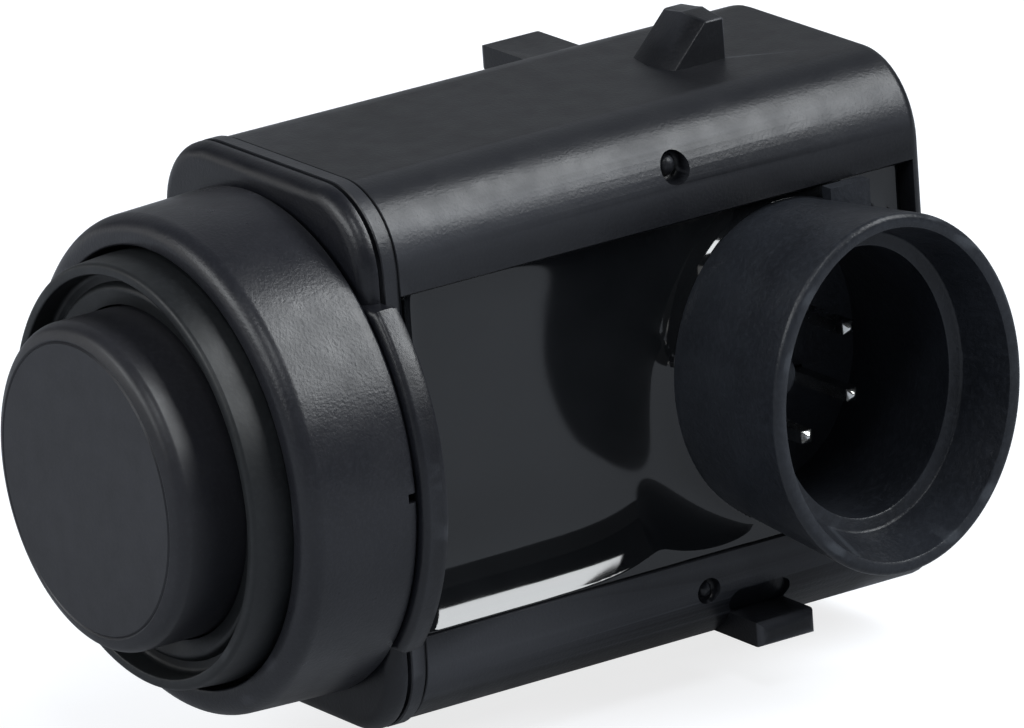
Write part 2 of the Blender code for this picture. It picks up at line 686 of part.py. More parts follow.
def ear_back():
    """The thicker part of an ear, beside the tray."""
    inner = BODY_HALF_WIDTH + RIM_PROUD + SEAT_GAP
    radius = EAR_RADIUS - EAR_STEP
    half_z = EAR_HALF_HEIGHT - EAR_STEP
    angle = math.degrees(math.asin(half_z / radius))
    outline = arc((0.0, 0.0), radius, -angle, angle, 2 * CORNER_STEPS)
    outline += [(inner, half_z), (inner, -half_z)]
    return prism(outline, COVER_BACK - EMBED, COVER_FRONT + EAR_THICK, "Y")


def build_collar():
    """The collar: a drafted skirt with a round shoulder, snapped over the cover's spigot."""
    slope = COLLAR_SKIRT_BORE - SNAP_BEAD
    half_snap = 0.5 * SNAP_WIDTH
    profile = [
        (COLLAR_SKIRT_BORE, COLLAR_BACK),
        (COLLAR_SKIRT_BORE, SNAP_Y + half_snap + 0.5 * slope),
        (SNAP_BEAD, SNAP_Y + half_snap - 0.5 * slope),
        (SNAP_BEAD, SNAP_Y - half_snap + 0.5 * slope),
        (COLLAR_SKIRT_BORE, SNAP_Y - half_snap - 0.5 * slope),
        (COLLAR_SKIRT_BORE, COLLAR_STEP),
        (COLLAR_BORE, COLLAR_STEP),
        (COLLAR_BORE, COLLAR_FRONT),
    ]
    shoulder = (COLLAR_FRONT_RADIUS - COLLAR_ROUND, COLLAR_FRONT + COLLAR_ROUND)
    profile += arc(shoulder, COLLAR_ROUND, DOWN, COLLAR_ROUND_END, 2 * EDGE_STEPS)
    profile += [(COLLAR_BACK_RADIUS, COLLAR_BACK)]
    black = principled("collar_black", "collar_plastic")
    collar = place("retaining_collar", revolve(profile), black)
    half = 0.5 * COLLAR_NOTCH
    notch = rectangle(COLLAR_BACK - COLLAR_NOTCH, COLLAR_BACK + OVERCUT, -half, half)
    combine(collar, "DIFFERENCE", "index_notch",
            prism(notch, COLLAR_SKIRT_BORE + SNAP_BITE, COLLAR_BACK_RADIUS + OVERCUT, "X"))


def build_decoupling_ring():
    """Silicone: an inner sleeve round the cup, an open channel, an outer lip and a cushion."""
    flange_front = COLLAR_STEP + SEAT_GAP
    flange_back = flange_front + RING_FLANGE_THICK
    flange_out = RING_OUT + RING_FLANGE_STEP
    channel_floor = RING_FRONT + CHANNEL_DEPTH
    profile = [
        (SLEEVE_IN, RING_FRONT + SLEEVE_RIM),
        (SLEEVE_IN + SLEEVE_RIM, RING_FRONT),
        (SLEEVE_OUT - SLEEVE_RIM, RING_FRONT),
        (SLEEVE_OUT, RING_FRONT + SLEEVE_RIM),
        (SLEEVE_OUT, channel_floor),
        (CHANNEL_OUT, channel_floor),
        (CHANNEL_OUT, RING_FRONT + SLEEVE_RIM),
    ]
    lip_centre = (0.5 * (CHANNEL_OUT + RING_RIM), RING_FRONT + 0.5 * LIP_WALL)
    profile += arc(lip_centre, 0.5 * LIP_WALL, LIP_ROUND_START, LIP_ROUND_END, 2 * EDGE_STEPS)
    profile += [
        (RING_OUT, COLLAR_FRONT),
        (RING_OUT, flange_front),
        (flange_out, flange_front),
        (flange_out, flange_back),
        (RING_BODY_RADIUS, flange_back),
        (RING_BODY_RADIUS, RING_BACK),
        (CUSHION_BORE, RING_BACK),
        (CUSHION_BORE, CUSHION_FRONT),
        (SLEEVE_IN, CUSHION_FRONT),
    ]
    place("decoupling_ring", revolve(profile), principled("ring_silicone", "silicone"))


def build_transducer():
    """The aluminium cup with its oblong cavity, and what it holds."""
    profile = [
        (0.0, 0.0),
        (POT_RADIUS - POT_FACE_BEVEL, 0.0),
        (POT_RADIUS, POT_BEVEL_DEPTH),
        (POT_RADIUS, POT_LENGTH),
        (POT_BORE_RADIUS, POT_LENGTH),
        (POT_BORE_RADIUS, BORE_FLOOR),
        (0.0, BORE_FLOOR),
    ]
    cup = place("membrane_pot", revolve(profile), principled("cup_paint", "coated_aluminium"))
    cavity = stadium(CAVITY_HALF_WIDTH, CAVITY_HALF_LENGTH)
    combine(cup, "DIFFERENCE", "oblong_cavity",
            prism(cavity, MEMBRANE_BACK, BORE_FLOOR + OVERCUT, "Y"))
    piezo_front = MEMBRANE_BACK + SEAT_GAP
    piezo_back = piezo_front + PIEZO_THICK
    piezo = circle((0.0, 0.0), PIEZO_RADIUS, HIDDEN_STEPS)
    place("piezo_disc", prism(piezo, piezo_front, piezo_back, "Y"),
          principled("disc_ceramic", "piezo_ceramic"))
    pad_front = BORE_FLOOR + SEAT_GAP
    pad_back = pad_front + PAD_THICK
    pierced_disc("damping_pad", pad_front, pad_back, principled("pad_felt", "felt"))
    plug_front = pad_back + SEAT_GAP
    pierced_disc("backing_plug", plug_front, plug_front + PLUG_THICK,
                 principled("plug_silicone", "backing_silicone"))
    lead_wire("lead_wire_1", LEAD_SPREAD, piezo_back + SEAT_GAP,
              principled("lead_red", "red_insulation"))
    lead_wire("lead_wire_2", -LEAD_SPREAD, piezo_back + SEAT_GAP,
              principled("lead_black", "black_insulation"))


def pierced_disc(name, front, back, material):
    """A disc that fills the cup's bore, with a hole for each lead wire."""
    outline = circle((0.0, 0.0), POT_BORE_RADIUS - SEAT_GAP, 2 * HIDDEN_STEPS)
    disc = place(name, prism(outline, front, back, "Y"), material)
    holes = []
    for height in (LEAD_SPREAD, -LEAD_SPREAD):
        ring = circle((0.0, height), LEAD_RADIUS + SEAT_GAP, 2 * CORNER_STEPS)
        holes.append(prism(ring, front - OVERCUT, back + OVERCUT, "Y"))
    combine(disc, "DIFFERENCE", name + "_holes", merge(*holes))


def lead_wire(name, height, start, material):
    """A lead from the piezo disc through the cover and down onto the board's front edge."""
    pad_x = BOARD_TOP_X + SEAT_GAP + LEAD_RADIUS
    drop = BOARD_FRONT - CUSHION_FRONT
    steps = 2 * CORNER_STEPS
    path = [(0.0, start, height)]
    for i in range(steps + 1):
        t = i / steps
        ease = t * t * (3.0 - 2.0 * t)
        path.append((pad_x * ease, CUSHION_FRONT + drop * t, height))
    path.append((pad_x, BOARD_FRONT + LEAD_FOOT, height))
    curve = bpy.data.curves.new(name, "CURVE")
    curve.dimensions = "3D"
    curve.bevel_depth = LEAD_RADIUS
    curve.bevel_resolution = WIRE_ROUNDNESS
    curve.use_fill_caps = True
    spline = curve.splines.new("POLY")
    spline.points.add(len(path) - 1)
    for point, spot in zip(spline.points, path):
        point.co = (*spot, 1.0)
    curve.materials.append(material)
    item = bpy.data.objects.new(name, curve)
    bpy.context.scene.collection.objects.link(item)


def shroud_ring(x, half_y, half_z, centre_y):
    """One oval section of the connector insert."""
    return lift(ellipse((centre_y, 0.0), half_y, half_z), x, "X")


def build_connector():
    """The oval connector insert: a flared shroud, a stepped socket, a key rib and a stop tab."""
    lip_x = MOUTH_X - SHROUD_LIP
    ledge_x = MOUTH_X - LEDGE_DEPTH
    mouth_y = SHROUD_RIM_Y - SHROUD_WALL
    mouth_z = SHROUD_RIM_Z - SHROUD_WALL
    ledge_y = mouth_y - LEDGE_TAPER
    ledge_z = mouth_z - LEDGE_TAPER
    bore_y = ledge_y - LEDGE_WIDTH
    bore_z = ledge_z - LEDGE_WIDTH
    rings = [
        shroud_ring(SHROUD_BASE_X, SHROUD_BASE_Y, SHROUD_BASE_Z, SHROUD_CENTRE_Y),
        shroud_ring(BODY_HALF_WIDTH, SHROUD_BASE_Y, SHROUD_BASE_Z, SHROUD_CENTRE_Y),
    ]
    for proud, x in arc((-SHROUD_LIP, lip_x), SHROUD_LIP, RIGHT, UP, EDGE_STEPS):
        rings.append(shroud_ring(x, SHROUD_RIM_Y + proud, SHROUD_RIM_Z + proud, MOUTH_CENTRE_Y))
    rings += [
        shroud_ring(MOUTH_X, mouth_y + SEAT_GAP, mouth_z + SEAT_GAP, MOUTH_CENTRE_Y),
        shroud_ring(MOUTH_X - SEAT_GAP, mouth_y, mouth_z, MOUTH_CENTRE_Y),
        shroud_ring(ledge_x, ledge_y, ledge_z, MOUTH_CENTRE_Y),
        shroud_ring(ledge_x, bore_y, bore_z, MOUTH_CENTRE_Y),
        shroud_ring(SOCKET_FLOOR_X, bore_y, bore_z, MOUTH_CENTRE_Y),
    ]
    insert = place("connector_shroud", loft(rings), principled("insert_grey", "insert_plastic"))
    combine(insert, "UNION", "key_rib", key_rib(bore_y))
    legs = [prism(circle(spot, LEG_RADIUS, 2 * CORNER_STEPS), PART_SEAT_X,
                  SHROUD_BASE_X + EMBED, "X") for spot in leg_places()]
    combine(insert, "UNION", "insert_legs", merge(*legs))
    combine(insert, "UNION", "stop_tab", stop_tab())
    holes = [prism(square(spot, PIN_HALF + SEAT_GAP), SHROUD_BASE_X - OVERCUT,
                   SOCKET_FLOOR_X + OVERCUT, "X") for spot in PIN_PLACES]
    combine(insert, "DIFFERENCE", "pin_holes", merge(*holes))


def key_rib(socket_half_y):
    """A rib with a round end on the socket's front wall, between the two wide pins."""
    wall = MOUTH_CENTRE_Y - socket_half_y
    tip = wall + KEY_LENGTH - KEY_HALF_WIDTH
    outline = [(wall - EMBED, KEY_HALF_WIDTH), (wall - EMBED, -KEY_HALF_WIDTH)]
    outline += arc((tip, 0.0), KEY_HALF_WIDTH, -UP, UP, 2 * CORNER_STEPS)
    return prism(outline, SOCKET_FLOOR_X - EMBED, SOCKET_FLOOR_X + KEY_HEIGHT, "X")


def leg_places():
    """Where the insert's four round legs stand on the board."""
    return [(SHROUD_CENTRE_Y + y, z) for y in (-LEG_OFFSET_Y, LEG_OFFSET_Y)
            for z in (-LEG_OFFSET_Z, LEG_OFFSET_Z)]


def stop_tab():
    """A small tab that rests on the tray's upper window lip."""
    low = BODY_HALF_WIDTH + SEAT_GAP
    top = WINDOW_HALF_HEIGHT + STOP_TAB_OVERLAP
    root_y = SHROUD_BASE_Y - EMBED
    root_z = SHROUD_BASE_Z - EMBED
    outline = []
    for i in range(CORNER_STEPS + 1):
        offset = STOP_TAB_START + STOP_TAB_LENGTH * i / CORNER_STEPS
        outline.append((SHROUD_CENTRE_Y + offset, root_z * math.sqrt(1.0 - (offset / root_y) ** 2)))
    outline += [(outline[-1][0], top), (outline[0][0], top)]
    return prism(outline, low, low + STOP_TAB_THICK, "X")


def build_pins():
    """Four square contact pins with pyramid tips, from the socket down through the board."""
    tip_x = MOUTH_X - PIN_BELOW_MOUTH
    tail_x = BOARD_BACK_X - PIN_TAIL
    stations = (
        (tail_x, PIN_POINT_HALF),
        (tail_x + PIN_TIP, PIN_HALF),
        (tip_x - PIN_TIP, PIN_HALF),
        (tip_x, PIN_POINT_HALF),
    )
    for number, spot in enumerate(PIN_PLACES, 1):
        rings = [lift(square(spot, half), x, "X") for x, half in stations]
        place("contact_pin_%d" % number, loft(rings), principled("pin_tin_%d" % number, "tin"))


def build_board():
    """The circuit board on the tray's shelves, with a hole for each pin."""
    half_y = 0.5 * (BOARD_REAR - BOARD_FRONT)
    centre = BOARD_FRONT + half_y
    section = rounded_rect(half_y, BOARD_HALF_Z, BOARD_CORNER, EDGE_STEPS)
    outline = [(centre + u, v) for u, v in section]
    board = place("circuit_board", prism(outline, BOARD_BACK_X, BOARD_TOP_X, "X"),
                  principled("board_green", "board_laminate"))
    bore = math.hypot(PIN_HALF, PIN_HALF) + SEAT_GAP
    holes = [prism(circle(spot, bore, 2 * CORNER_STEPS), BOARD_BACK_X - OVERCUT,
                   BOARD_TOP_X + OVERCUT, "X") for spot in PIN_PLACES]
    combine(board, "DIFFERENCE", "board_holes", merge(*holes))


def block_parts():
    """The block-shaped parts on the board: finish, place, and size along Y, Z and X."""
    chip_place = (BOARD_FRONT + CHIP_Y, BOARD_HALF_Z - CHIP_INSET)
    diode_place = (BOARD_FRONT + DIODE_Y, DIODE_INSET - BOARD_HALF_Z)
    chip_size = (CHIP_SIDE, CHIP_SIDE, CHIP_THICK)
    diode_size = (DIODE_LENGTH, DIODE_WIDTH, DIODE_THICK)
    capacitor_size = (CAPACITOR_LENGTH, CAPACITOR_WIDTH, CAPACITOR_THICK)
    resistor_size = (RESISTOR_LENGTH, RESISTOR_WIDTH, RESISTOR_THICK)
    parts = {
        "control_chip": ("chip_resin", chip_place, chip_size),
        "diode": ("chip_resin", diode_place, diode_size),
    }
    for i in range(CAPACITOR_COUNT):
        spot = (BOARD_FRONT + CAPACITOR_Y, BOARD_HALF_Z - CAPACITOR_INSET - i * CAPACITOR_PITCH)
        parts["filter_capacitor_%d" % (i + 1)] = ("capacitor_ceramic", spot, capacitor_size)
    for i in range(RESISTOR_COUNT):
        spot = (BOARD_FRONT + RESISTOR_Y, RESISTOR_INSET + i * RESISTOR_PITCH - BOARD_HALF_Z)
        parts["resistor_%d" % (i + 1)] = ("resistor_film", spot, resistor_size)
    return parts


def storage_cap_place():
    """Where the storage capacitor stands, near the board's lower edge."""
    return BOARD_FRONT + STORAGE_CAP_Y, STORAGE_CAP_INSET - BOARD_HALF_Z


def transformer_place():
    """Where the transformer stands, near the board's middle."""
    return BOARD_FRONT + TRANSFORMER_Y, TRANSFORMER_Z


def block(spot, size, grow=0.0, root=PART_SEAT_X):
    """A block standing on the board, or its pocket when grown."""
    y, z = spot
    size_y, size_z, height = size
    half_y = 0.5 * size_y + grow
    half_z = 0.5 * size_z + grow
    outline = rectangle(y - half_y, y + half_y, z - half_z, z + half_z)
    return prism(outline, root, PART_SEAT_X + height + grow, "X")


def build_board_parts():
    """The control chip, diode, capacitors and resistors."""
    for name, (finish, spot, size) in block_parts().items():
        place(name, block(spot, size), principled(name + "_body", finish))
    low = PART_SEAT_X
    high = low + STORAGE_CAP_HEIGHT
    neck = low + STORAGE_CAP_NECK_RISE
    slim = STORAGE_CAP_RADIUS - STORAGE_CAP_NECK
    profile = [
        (0.0, low),
        (STORAGE_CAP_RADIUS, low),
        (STORAGE_CAP_RADIUS, neck - STORAGE_CAP_NECK),
        (slim, neck),
        (STORAGE_CAP_RADIUS, neck + STORAGE_CAP_NECK),
        (STORAGE_CAP_RADIUS, high - STORAGE_CAP_NECK),
        (slim, high),
        (0.0, high),
    ]
    can = stand_on_board(revolve(profile, HIDDEN_STEPS), storage_cap_place())
    place("storage_capacitor", can, principled("can_aluminium", "capacitor_can"))


def core_half_z():
    """Half the height of the transformer core, measured up the board."""
    return BOBBIN_RADIUS + SEAT_GAP + CORE_BAR


def build_transformer():
    """A small transformer: a spool, its winding, and a core that frames the spool."""
    centre = transformer_place()
    y, z = centre
    low = PART_SEAT_X
    high = low + CORE_HEIGHT
    near = y - 0.5 * CORE_DEPTH
    far = y + 0.5 * CORE_DEPTH
    window_low = low + CORE_BAR
    window_high = high - CORE_BAR
    window_half_z = core_half_z() - CORE_BAR
    frame = rectangle(low, high, z - core_half_z(), z + core_half_z())
    window = rectangle(window_low, window_high, z - window_half_z, z + window_half_z)
    core = place("transformer_core", prism(frame, near, far, "Y"),
                 principled("core_ferrite", "ferrite"))
    combine(core, "DIFFERENCE", "core_window",
            prism(window, near - OVERCUT, far + OVERCUT, "Y"))
    post = rectangle(0.0, BOBBIN_BORE - SEAT_GAP, low + EMBED, high - EMBED)
    combine(core, "UNION", "core_limb", stand_on_board(revolve(post, HIDDEN_STEPS), centre))
    spool_low = window_low + SEAT_GAP
    spool_high = window_high - SEAT_GAP
    spool = [
        (BOBBIN_BORE, spool_low),
        (BOBBIN_RADIUS, spool_low),
        (BOBBIN_RADIUS, spool_low + BOBBIN_FLANGE),
        (BOBBIN_HUB, spool_low + BOBBIN_FLANGE),
        (BOBBIN_HUB, spool_high - BOBBIN_FLANGE),
        (BOBBIN_RADIUS, spool_high - BOBBIN_FLANGE),
        (BOBBIN_RADIUS, spool_high),
        (BOBBIN_BORE, spool_high),
    ]
    place("transformer_bobbin", stand_on_board(revolve(spool, HIDDEN_STEPS), centre),
          principled("spool_plastic", "bobbin_plastic"))
    winding = rectangle(BOBBIN_HUB + SEAT_GAP, WINDING_RADIUS,
                        spool_low + BOBBIN_FLANGE + SEAT_GAP,
                        spool_high - BOBBIN_FLANGE - SEAT_GAP)
    place("transformer_winding", stand_on_board(revolve(winding, HIDDEN_STEPS), centre),
          principled("winding_copper", "copper_wire"))


def build_potting():
    """The resin: it fills the tray over the board, to a little below the window's edge."""
    outline = potting_outline()
    front = WINDOW_FRONT + SEAT_GAP
    rear = CAVITY_REAR - SEAT_GAP
    resin = place("potting_compound", prism(outline, front, rear, "Y"),
                  principled("resin_black", "potting_resin"))
    hole = ellipse((SHROUD_CENTRE_Y, 0.0), SHROUD_BASE_Y + SEAT_GAP, SHROUD_BASE_Z + SEAT_GAP)
    combine(resin, "DIFFERENCE", "shroud_hole",
            prism(hole, SHROUD_BASE_X - SEAT_GAP, BODY_HALF_WIDTH + OVERCUT, "X"))
    root = BOARD_TOP_X - OVERCUT
    pockets = [block(spot, size, SEAT_GAP, root) for _, spot, size in block_parts().values()]
    core_size = (2.0 * (BOBBIN_RADIUS + SEAT_GAP), 2.0 * core_half_z(), CORE_HEIGHT)
    pockets.append(block(transformer_place(), core_size, SEAT_GAP, root))
    pockets.append(round_pocket(storage_cap_place(), STORAGE_CAP_RADIUS, root,
                                PART_SEAT_X + STORAGE_CAP_HEIGHT + SEAT_GAP))
    combine(resin, "DIFFERENCE", "part_pockets", merge(*pockets), crossing=True)
    shafts = [prism(square(spot, PIN_HALF + SEAT_GAP), root, SHROUD_BASE_X, "X")
              for spot in PIN_PLACES]
    shafts += [round_pocket(spot, LEG_RADIUS, root, SHROUD_BASE_X) for spot in leg_places()]
    combine(resin, "DIFFERENCE", "insert_shafts", merge(*shafts))
    lead_half_z = LEAD_SPREAD + LEAD_RADIUS + SEAT_GAP
    lead_end = BOARD_FRONT + LEAD_FOOT + SEAT_GAP
    lead_top = PART_SEAT_X + 2.0 * LEAD_RADIUS + SEAT_GAP
    leads = rectangle(front - OVERCUT, lead_end, -lead_half_z, lead_half_z)
    combine(resin, "DIFFERENCE", "lead_pocket", prism(leads, root, lead_top, "X"))


def potting_outline():
    """The cavity's section over the board, and the window above it, less the seat gap."""
    half_x = CAVITY_HALF_X - SEAT_GAP
    half_z = CAVITY_HALF_Z - SEAT_GAP
    corner = max(CAVITY_CORNER - SEAT_GAP, EMBED)
    neck = WINDOW_HALF_HEIGHT - SEAT_GAP
    upper = [(POTTING_FACE_X, neck), (half_x, neck)]
    upper += arc((half_x - corner, half_z - corner), corner, RIGHT, UP, CORNER_STEPS)
    upper += [(BOARD_TOP_X + SEAT_GAP, half_z)]
    lower = [(x, -z) for x, z in reversed(upper)]
    return upper + lower


def round_pocket(spot, radius, low, high):
    """A round pocket round something that stands on the board."""
    return prism(circle(spot, radius + SEAT_GAP, HIDDEN_STEPS), low, high, "X")


def main():
    clear_scene()
    build_housing()
    build_cover()
    build_collar()
    build_decoupling_ring()
    build_transducer()
    build_connector()
    build_pins()
    build_board()
    build_board_parts()
    build_transformer()
    build_potting()


main()
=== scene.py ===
"""Ultrasonic parking sensor: the dressed model, in the order in which it is put together."""
import math

import bmesh
import bpy
from mathutils import Matrix, Vector


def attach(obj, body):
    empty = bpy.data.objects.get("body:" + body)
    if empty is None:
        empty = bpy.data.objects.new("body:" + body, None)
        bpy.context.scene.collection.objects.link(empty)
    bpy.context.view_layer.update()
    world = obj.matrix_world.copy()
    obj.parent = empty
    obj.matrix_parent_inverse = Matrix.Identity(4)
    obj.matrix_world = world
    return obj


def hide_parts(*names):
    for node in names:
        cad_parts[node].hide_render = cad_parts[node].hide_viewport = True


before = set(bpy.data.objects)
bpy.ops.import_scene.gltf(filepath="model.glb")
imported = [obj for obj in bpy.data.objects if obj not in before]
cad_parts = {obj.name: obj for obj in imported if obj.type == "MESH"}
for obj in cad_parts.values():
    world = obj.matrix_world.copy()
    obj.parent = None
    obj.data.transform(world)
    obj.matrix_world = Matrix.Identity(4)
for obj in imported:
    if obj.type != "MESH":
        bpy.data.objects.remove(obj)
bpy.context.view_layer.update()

scene = bpy.context.scene


# Camera
# A long lens from the right and a little above, rolled slightly, as the product photograph
# was taken.
MM = 0.001
view_side = math.radians(56.8546)
view_height = math.radians(17.5996)
view_roll = math.radians(-4.1037)
view_distance = 622.914 * MM
view_aim = Vector((3.3834, 21.3675, 1.7442)) * MM

lens = bpy.data.cameras.new("camera")
lens.sensor_width = 36.0
lens.lens = 476.41
camera = bpy.data.objects.new("camera", lens)
scene.collection.objects.link(camera)
towards_camera = Vector((
    math.sin(view_side) * math.cos(view_height),
    -math.cos(view_side) * math.cos(view_height),
    math.sin(view_height),
))
turn = towards_camera.to_track_quat("Z", "Y").to_matrix() @ Matrix.Rotation(view_roll, 3, "Z")
camera.matrix_world = Matrix.Translation(view_aim + towards_camera * view_distance) @ turn.to_4x4()
scene.camera = camera


# Transducer cup
# One impact-extruded aluminium cup, painted in the bumper's dark tone.  Its thin floor is the
# membrane, with a fine groove turned round its face, and its oblong cavity shapes the sound
# beam.
CLOSE = 0.002
MERGE = 0.0005
ROUND_STEPS = 160


def turned(profile, steps=ROUND_STEPS):
    """Spin a closed outline of (radius, y) points, in millimetres, about the sensor axis."""
    bm = bmesh.new()
    points = [bm.verts.new((radius, y, 0.0)) for radius, y in profile]
    for near, far in zip(points, points[1:] + points[:1]):
        if near.co.x > CLOSE or far.co.x > CLOSE:
            bm.edges.new((near, far))
    bmesh.ops.spin(bm, geom=bm.verts[:] + bm.edges[:], cent=(0, 0, 0), axis=(0, 1, 0),
                   angle=2.0 * math.pi, steps=steps, use_merge=True)
    bmesh.ops.remove_doubles(bm, verts=bm.verts, dist=CLOSE)
    bmesh.ops.recalc_face_normals(bm, faces=bm.faces)
    return bm


def soften(bm, edges, width, segments=4):
    """Round a set of edges."""
    bmesh.ops.bevel(bm, geom=edges, offset=width, offset_type="OFFSET", segments=segments,
                    profile=0.5, affect="EDGES", material=-1, clamp_overlap=True)


def soften_circle(bm, radius, y, width, segments=4):
    """Round the edges of one circle about the sensor axis."""
    edges = [edge for edge in bm.edges if all(
        abs(math.hypot(vert.co.x, vert.co.z) - radius) < CLOSE and abs(vert.co.y - y) < CLOSE
        for vert in edge.verts)]
    soften(bm, edges, width, segments)


def pulled(bm, faces):
    """Extrude some faces and give back the new corners, still in place."""
    drawn = bmesh.ops.extrude_face_region(bm, geom=faces)["geom"]
    return [item for item in drawn if isinstance(item, bmesh.types.BMVert)]


def prism(outline, shift):
    """A flat outline drawn out by a vector, in millimetres."""
    bm = bmesh.new()
    base = bm.faces.new([bm.verts.new(point) for point in outline])
    bmesh.ops.translate(bm, verts=pulled(bm, [base]), vec=shift)
    bmesh.ops.recalc_face_normals(bm, faces=bm.faces)
    return bm


def placed(name, bm):
    """Make an object at the origin from a mesh that has been worked."""
    mesh = bpy.data.meshes.new(name)
    bm.to_mesh(mesh)
    bm.free()
    item = bpy.data.objects.new(name, mesh)
    scene.collection.objects.link(item)
    return item


def shaping_item(bm):
    """A short-lived object for a Boolean."""
    bmesh.ops.remove_doubles(bm, verts=bm.verts, dist=MERGE)
    bmesh.ops.triangulate(bm, faces=bm.faces)
    return placed("shaping", bm)


def carve(body, cutter, operation="DIFFERENCE"):
    """Cut a solid out of another, or join the two."""
    pair = [shaping_item(body), shaping_item(cutter)]
    modifier = pair[0].modifiers.new("shaping", "BOOLEAN")
    modifier.operation = operation
    modifier.solver = "EXACT"
    modifier.object = pair[1]
    result = bmesh.new()
    result.from_object(pair[0], bpy.context.evaluated_depsgraph_get())
    for item in pair:
        mesh = item.data
        bpy.data.objects.remove(item)
        bpy.data.meshes.remove(mesh)
    return result


def plain_surface(name, gloss=0.5):
    """A new material, with its node tree and its shader."""
    material = bpy.data.materials.new(name)
    material.use_nodes = True
    shader = material.node_tree.nodes["Principled BSDF"]
    shader.inputs["Specular IOR Level"].default_value = gloss
    return material, material.node_tree, shader


def noise(tree, size, detail=2.0, stretch=(1.0, 1.0, 1.0), rough=0.5):
    """A noise pattern with spots of about the given size in millimetres."""
    place = tree.nodes.new("ShaderNodeTexCoord")
    mapping = tree.nodes.new("ShaderNodeMapping")
    mapping.inputs["Scale"].default_value = [1.0 / (size * MM * part) for part in stretch]
    pattern = tree.nodes.new("ShaderNodeTexNoise")
    pattern.inputs["Scale"].default_value = 1.0
    pattern.inputs["Detail"].default_value = detail
    pattern.inputs["Roughness"].default_value = rough
    tree.links.new(place.outputs["Object"], mapping.inputs["Vector"])
    tree.links.new(mapping.outputs["Vector"], pattern.inputs["Vector"])
    return pattern.outputs["Fac"]


def spread(tree, value, low, high, start=0.3, end=0.7):
    """Stretch a pattern's middle values to a new range."""
    node = tree.nodes.new("ShaderNodeMapRange")
    node.inputs["From Min"].default_value = start
    node.inputs["From Max"].default_value = end
    node.inputs["To Min"].default_value = low
    node.inputs["To Max"].default_value = high
    tree.links.new(value, node.inputs["Value"])
    return node.outputs["Result"]


def blended(tree, amount, first, second):
    """Mix two colours; each is a colour or another node's output."""
    node = tree.nodes.new("ShaderNodeMix")
    node.data_type = "RGBA"
    tree.links.new(amount, node.inputs[0])
    for socket, colour in ((node.inputs[6], first), (node.inputs[7], second)):
        if isinstance(colour, bpy.types.NodeSocket):
            tree.links.new(colour, socket)
        else:
            socket.default_value = (*colour, 1.0)
    return node.outputs[2]


def roughened(tree, shader, pattern, height):
    """Raise the surface by a pattern, its height in millimetres."""
    bump = tree.nodes.new("ShaderNodeBump")
    bump.inputs["Distance"].default_value = height * MM
    tree.links.new(pattern, bump.inputs["Height"])
    tree.links.new(bump.outputs["Normal"], shader.inputs["Normal"])


def moulded(name, dark, light, roughness, grain=0.13, height=0.004, edge_wear_and_highlight=None, gloss=0.5):
    """A dyed plastic or paint: cloudy tone, fine grain, uneven sheen, and convex edges painted
    lighter, partly as wear and partly as a painted highlight.
    """
    material, tree, shader = plain_surface(name, gloss)
    cloud = noise(tree, size=3.5, detail=4.0)
    speck = noise(tree, grain, detail=2.0, rough=0.6)
    colour = blended(tree, spread(tree, cloud, 0.0, 1.0), dark, light)
    paler = [1.5 * part for part in light]
    colour = blended(tree, spread(tree, speck, 0.0, 0.45, start=0.45, end=0.75), colour, paler)
    # Convex edges are painted lighter here, partly as wear and partly as a painted highlight along
    # them.
    if edge_wear_and_highlight:
        shape = tree.nodes.new("ShaderNodeNewGeometry")
        edge_wear_and_highlight_mask = spread(tree, shape.outputs["Pointiness"], 0.0, 0.75, start=0.52, end=0.62)
        colour = blended(tree, edge_wear_and_highlight_mask, colour, edge_wear_and_highlight)
    tree.links.new(colour, shader.inputs["Base Color"])
    sheen = spread(tree, noise(tree, size=1.4, detail=3.0), roughness - 0.05, roughness + 0.05)
    tree.links.new(sheen, shader.inputs["Roughness"])
    roughened(tree, shader, speck, height)
    return material


def finished(name, bm, material, nodes, smooth=35.0):
    """Make the piece, shade its rounds smooth, and fix it in place of its solid."""
    bmesh.ops.remove_doubles(bm, verts=bm.verts, dist=MERGE)
    bmesh.ops.scale(bm, vec=(MM, MM, MM), verts=bm.verts)
    piece = placed(name, bm)
    piece.data.shade_smooth()
    piece.data.set_sharp_from_angle(angle=math.radians(smooth))
    piece.data.materials.append(material)
    even = piece.modifiers.new("even_shading", "WEIGHTED_NORMAL")
    even.keep_sharp = True
    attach(piece, "root")
    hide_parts(*nodes)
    return piece


pot_radius = 7.75
pot_back = 8.75
wall_front = 0.62
nose_radius = 7.52
nose_depth = 0.24
groove_inside = 6.83
groove_middle = 6.91
groove_outside = 7.00
groove_depth = 0.08
groove_rim = 0.01
flat_radius = 6.60
bore_radius = 6.30
bore_floor = 3.55
cup = turned([(0.0, 0.0), (flat_radius, 0.0), (groove_inside, 0.0), (groove_middle, groove_depth),
              (groove_outside, groove_rim), (nose_radius, nose_depth), (pot_radius, wall_front),
              (pot_radius, pot_back), (bore_radius, pot_back), (bore_radius, bore_floor),
              (0.0, bore_floor)])
soften_circle(cup, groove_outside, groove_rim, 0.03, 2)
soften_circle(cup, nose_radius, nose_depth, 0.16, 4)
soften_circle(cup, pot_radius, wall_front, 0.16, 4)
soften_circle(cup, pot_radius, pot_back, 0.15, 3)
membrane_thickness = 0.75
cavity_depth = 4.0
cavity_half_width = 3.90
cavity_half_length = 5.70
arc_steps = 24
end_arc = [(math.pi * i / arc_steps) for i in range(arc_steps + 1)]
reach = cavity_half_length - cavity_half_width
slot_outline = [(cavity_half_width * math.cos(a), reach + cavity_half_width * math.sin(a))
                for a in end_arc]
slot_outline += [(-x, -z) for x, z in slot_outline]
cup = carve(cup, prism([(x, membrane_thickness, z) for x, z in slot_outline],
                       (0.0, cavity_depth, 0.0)))
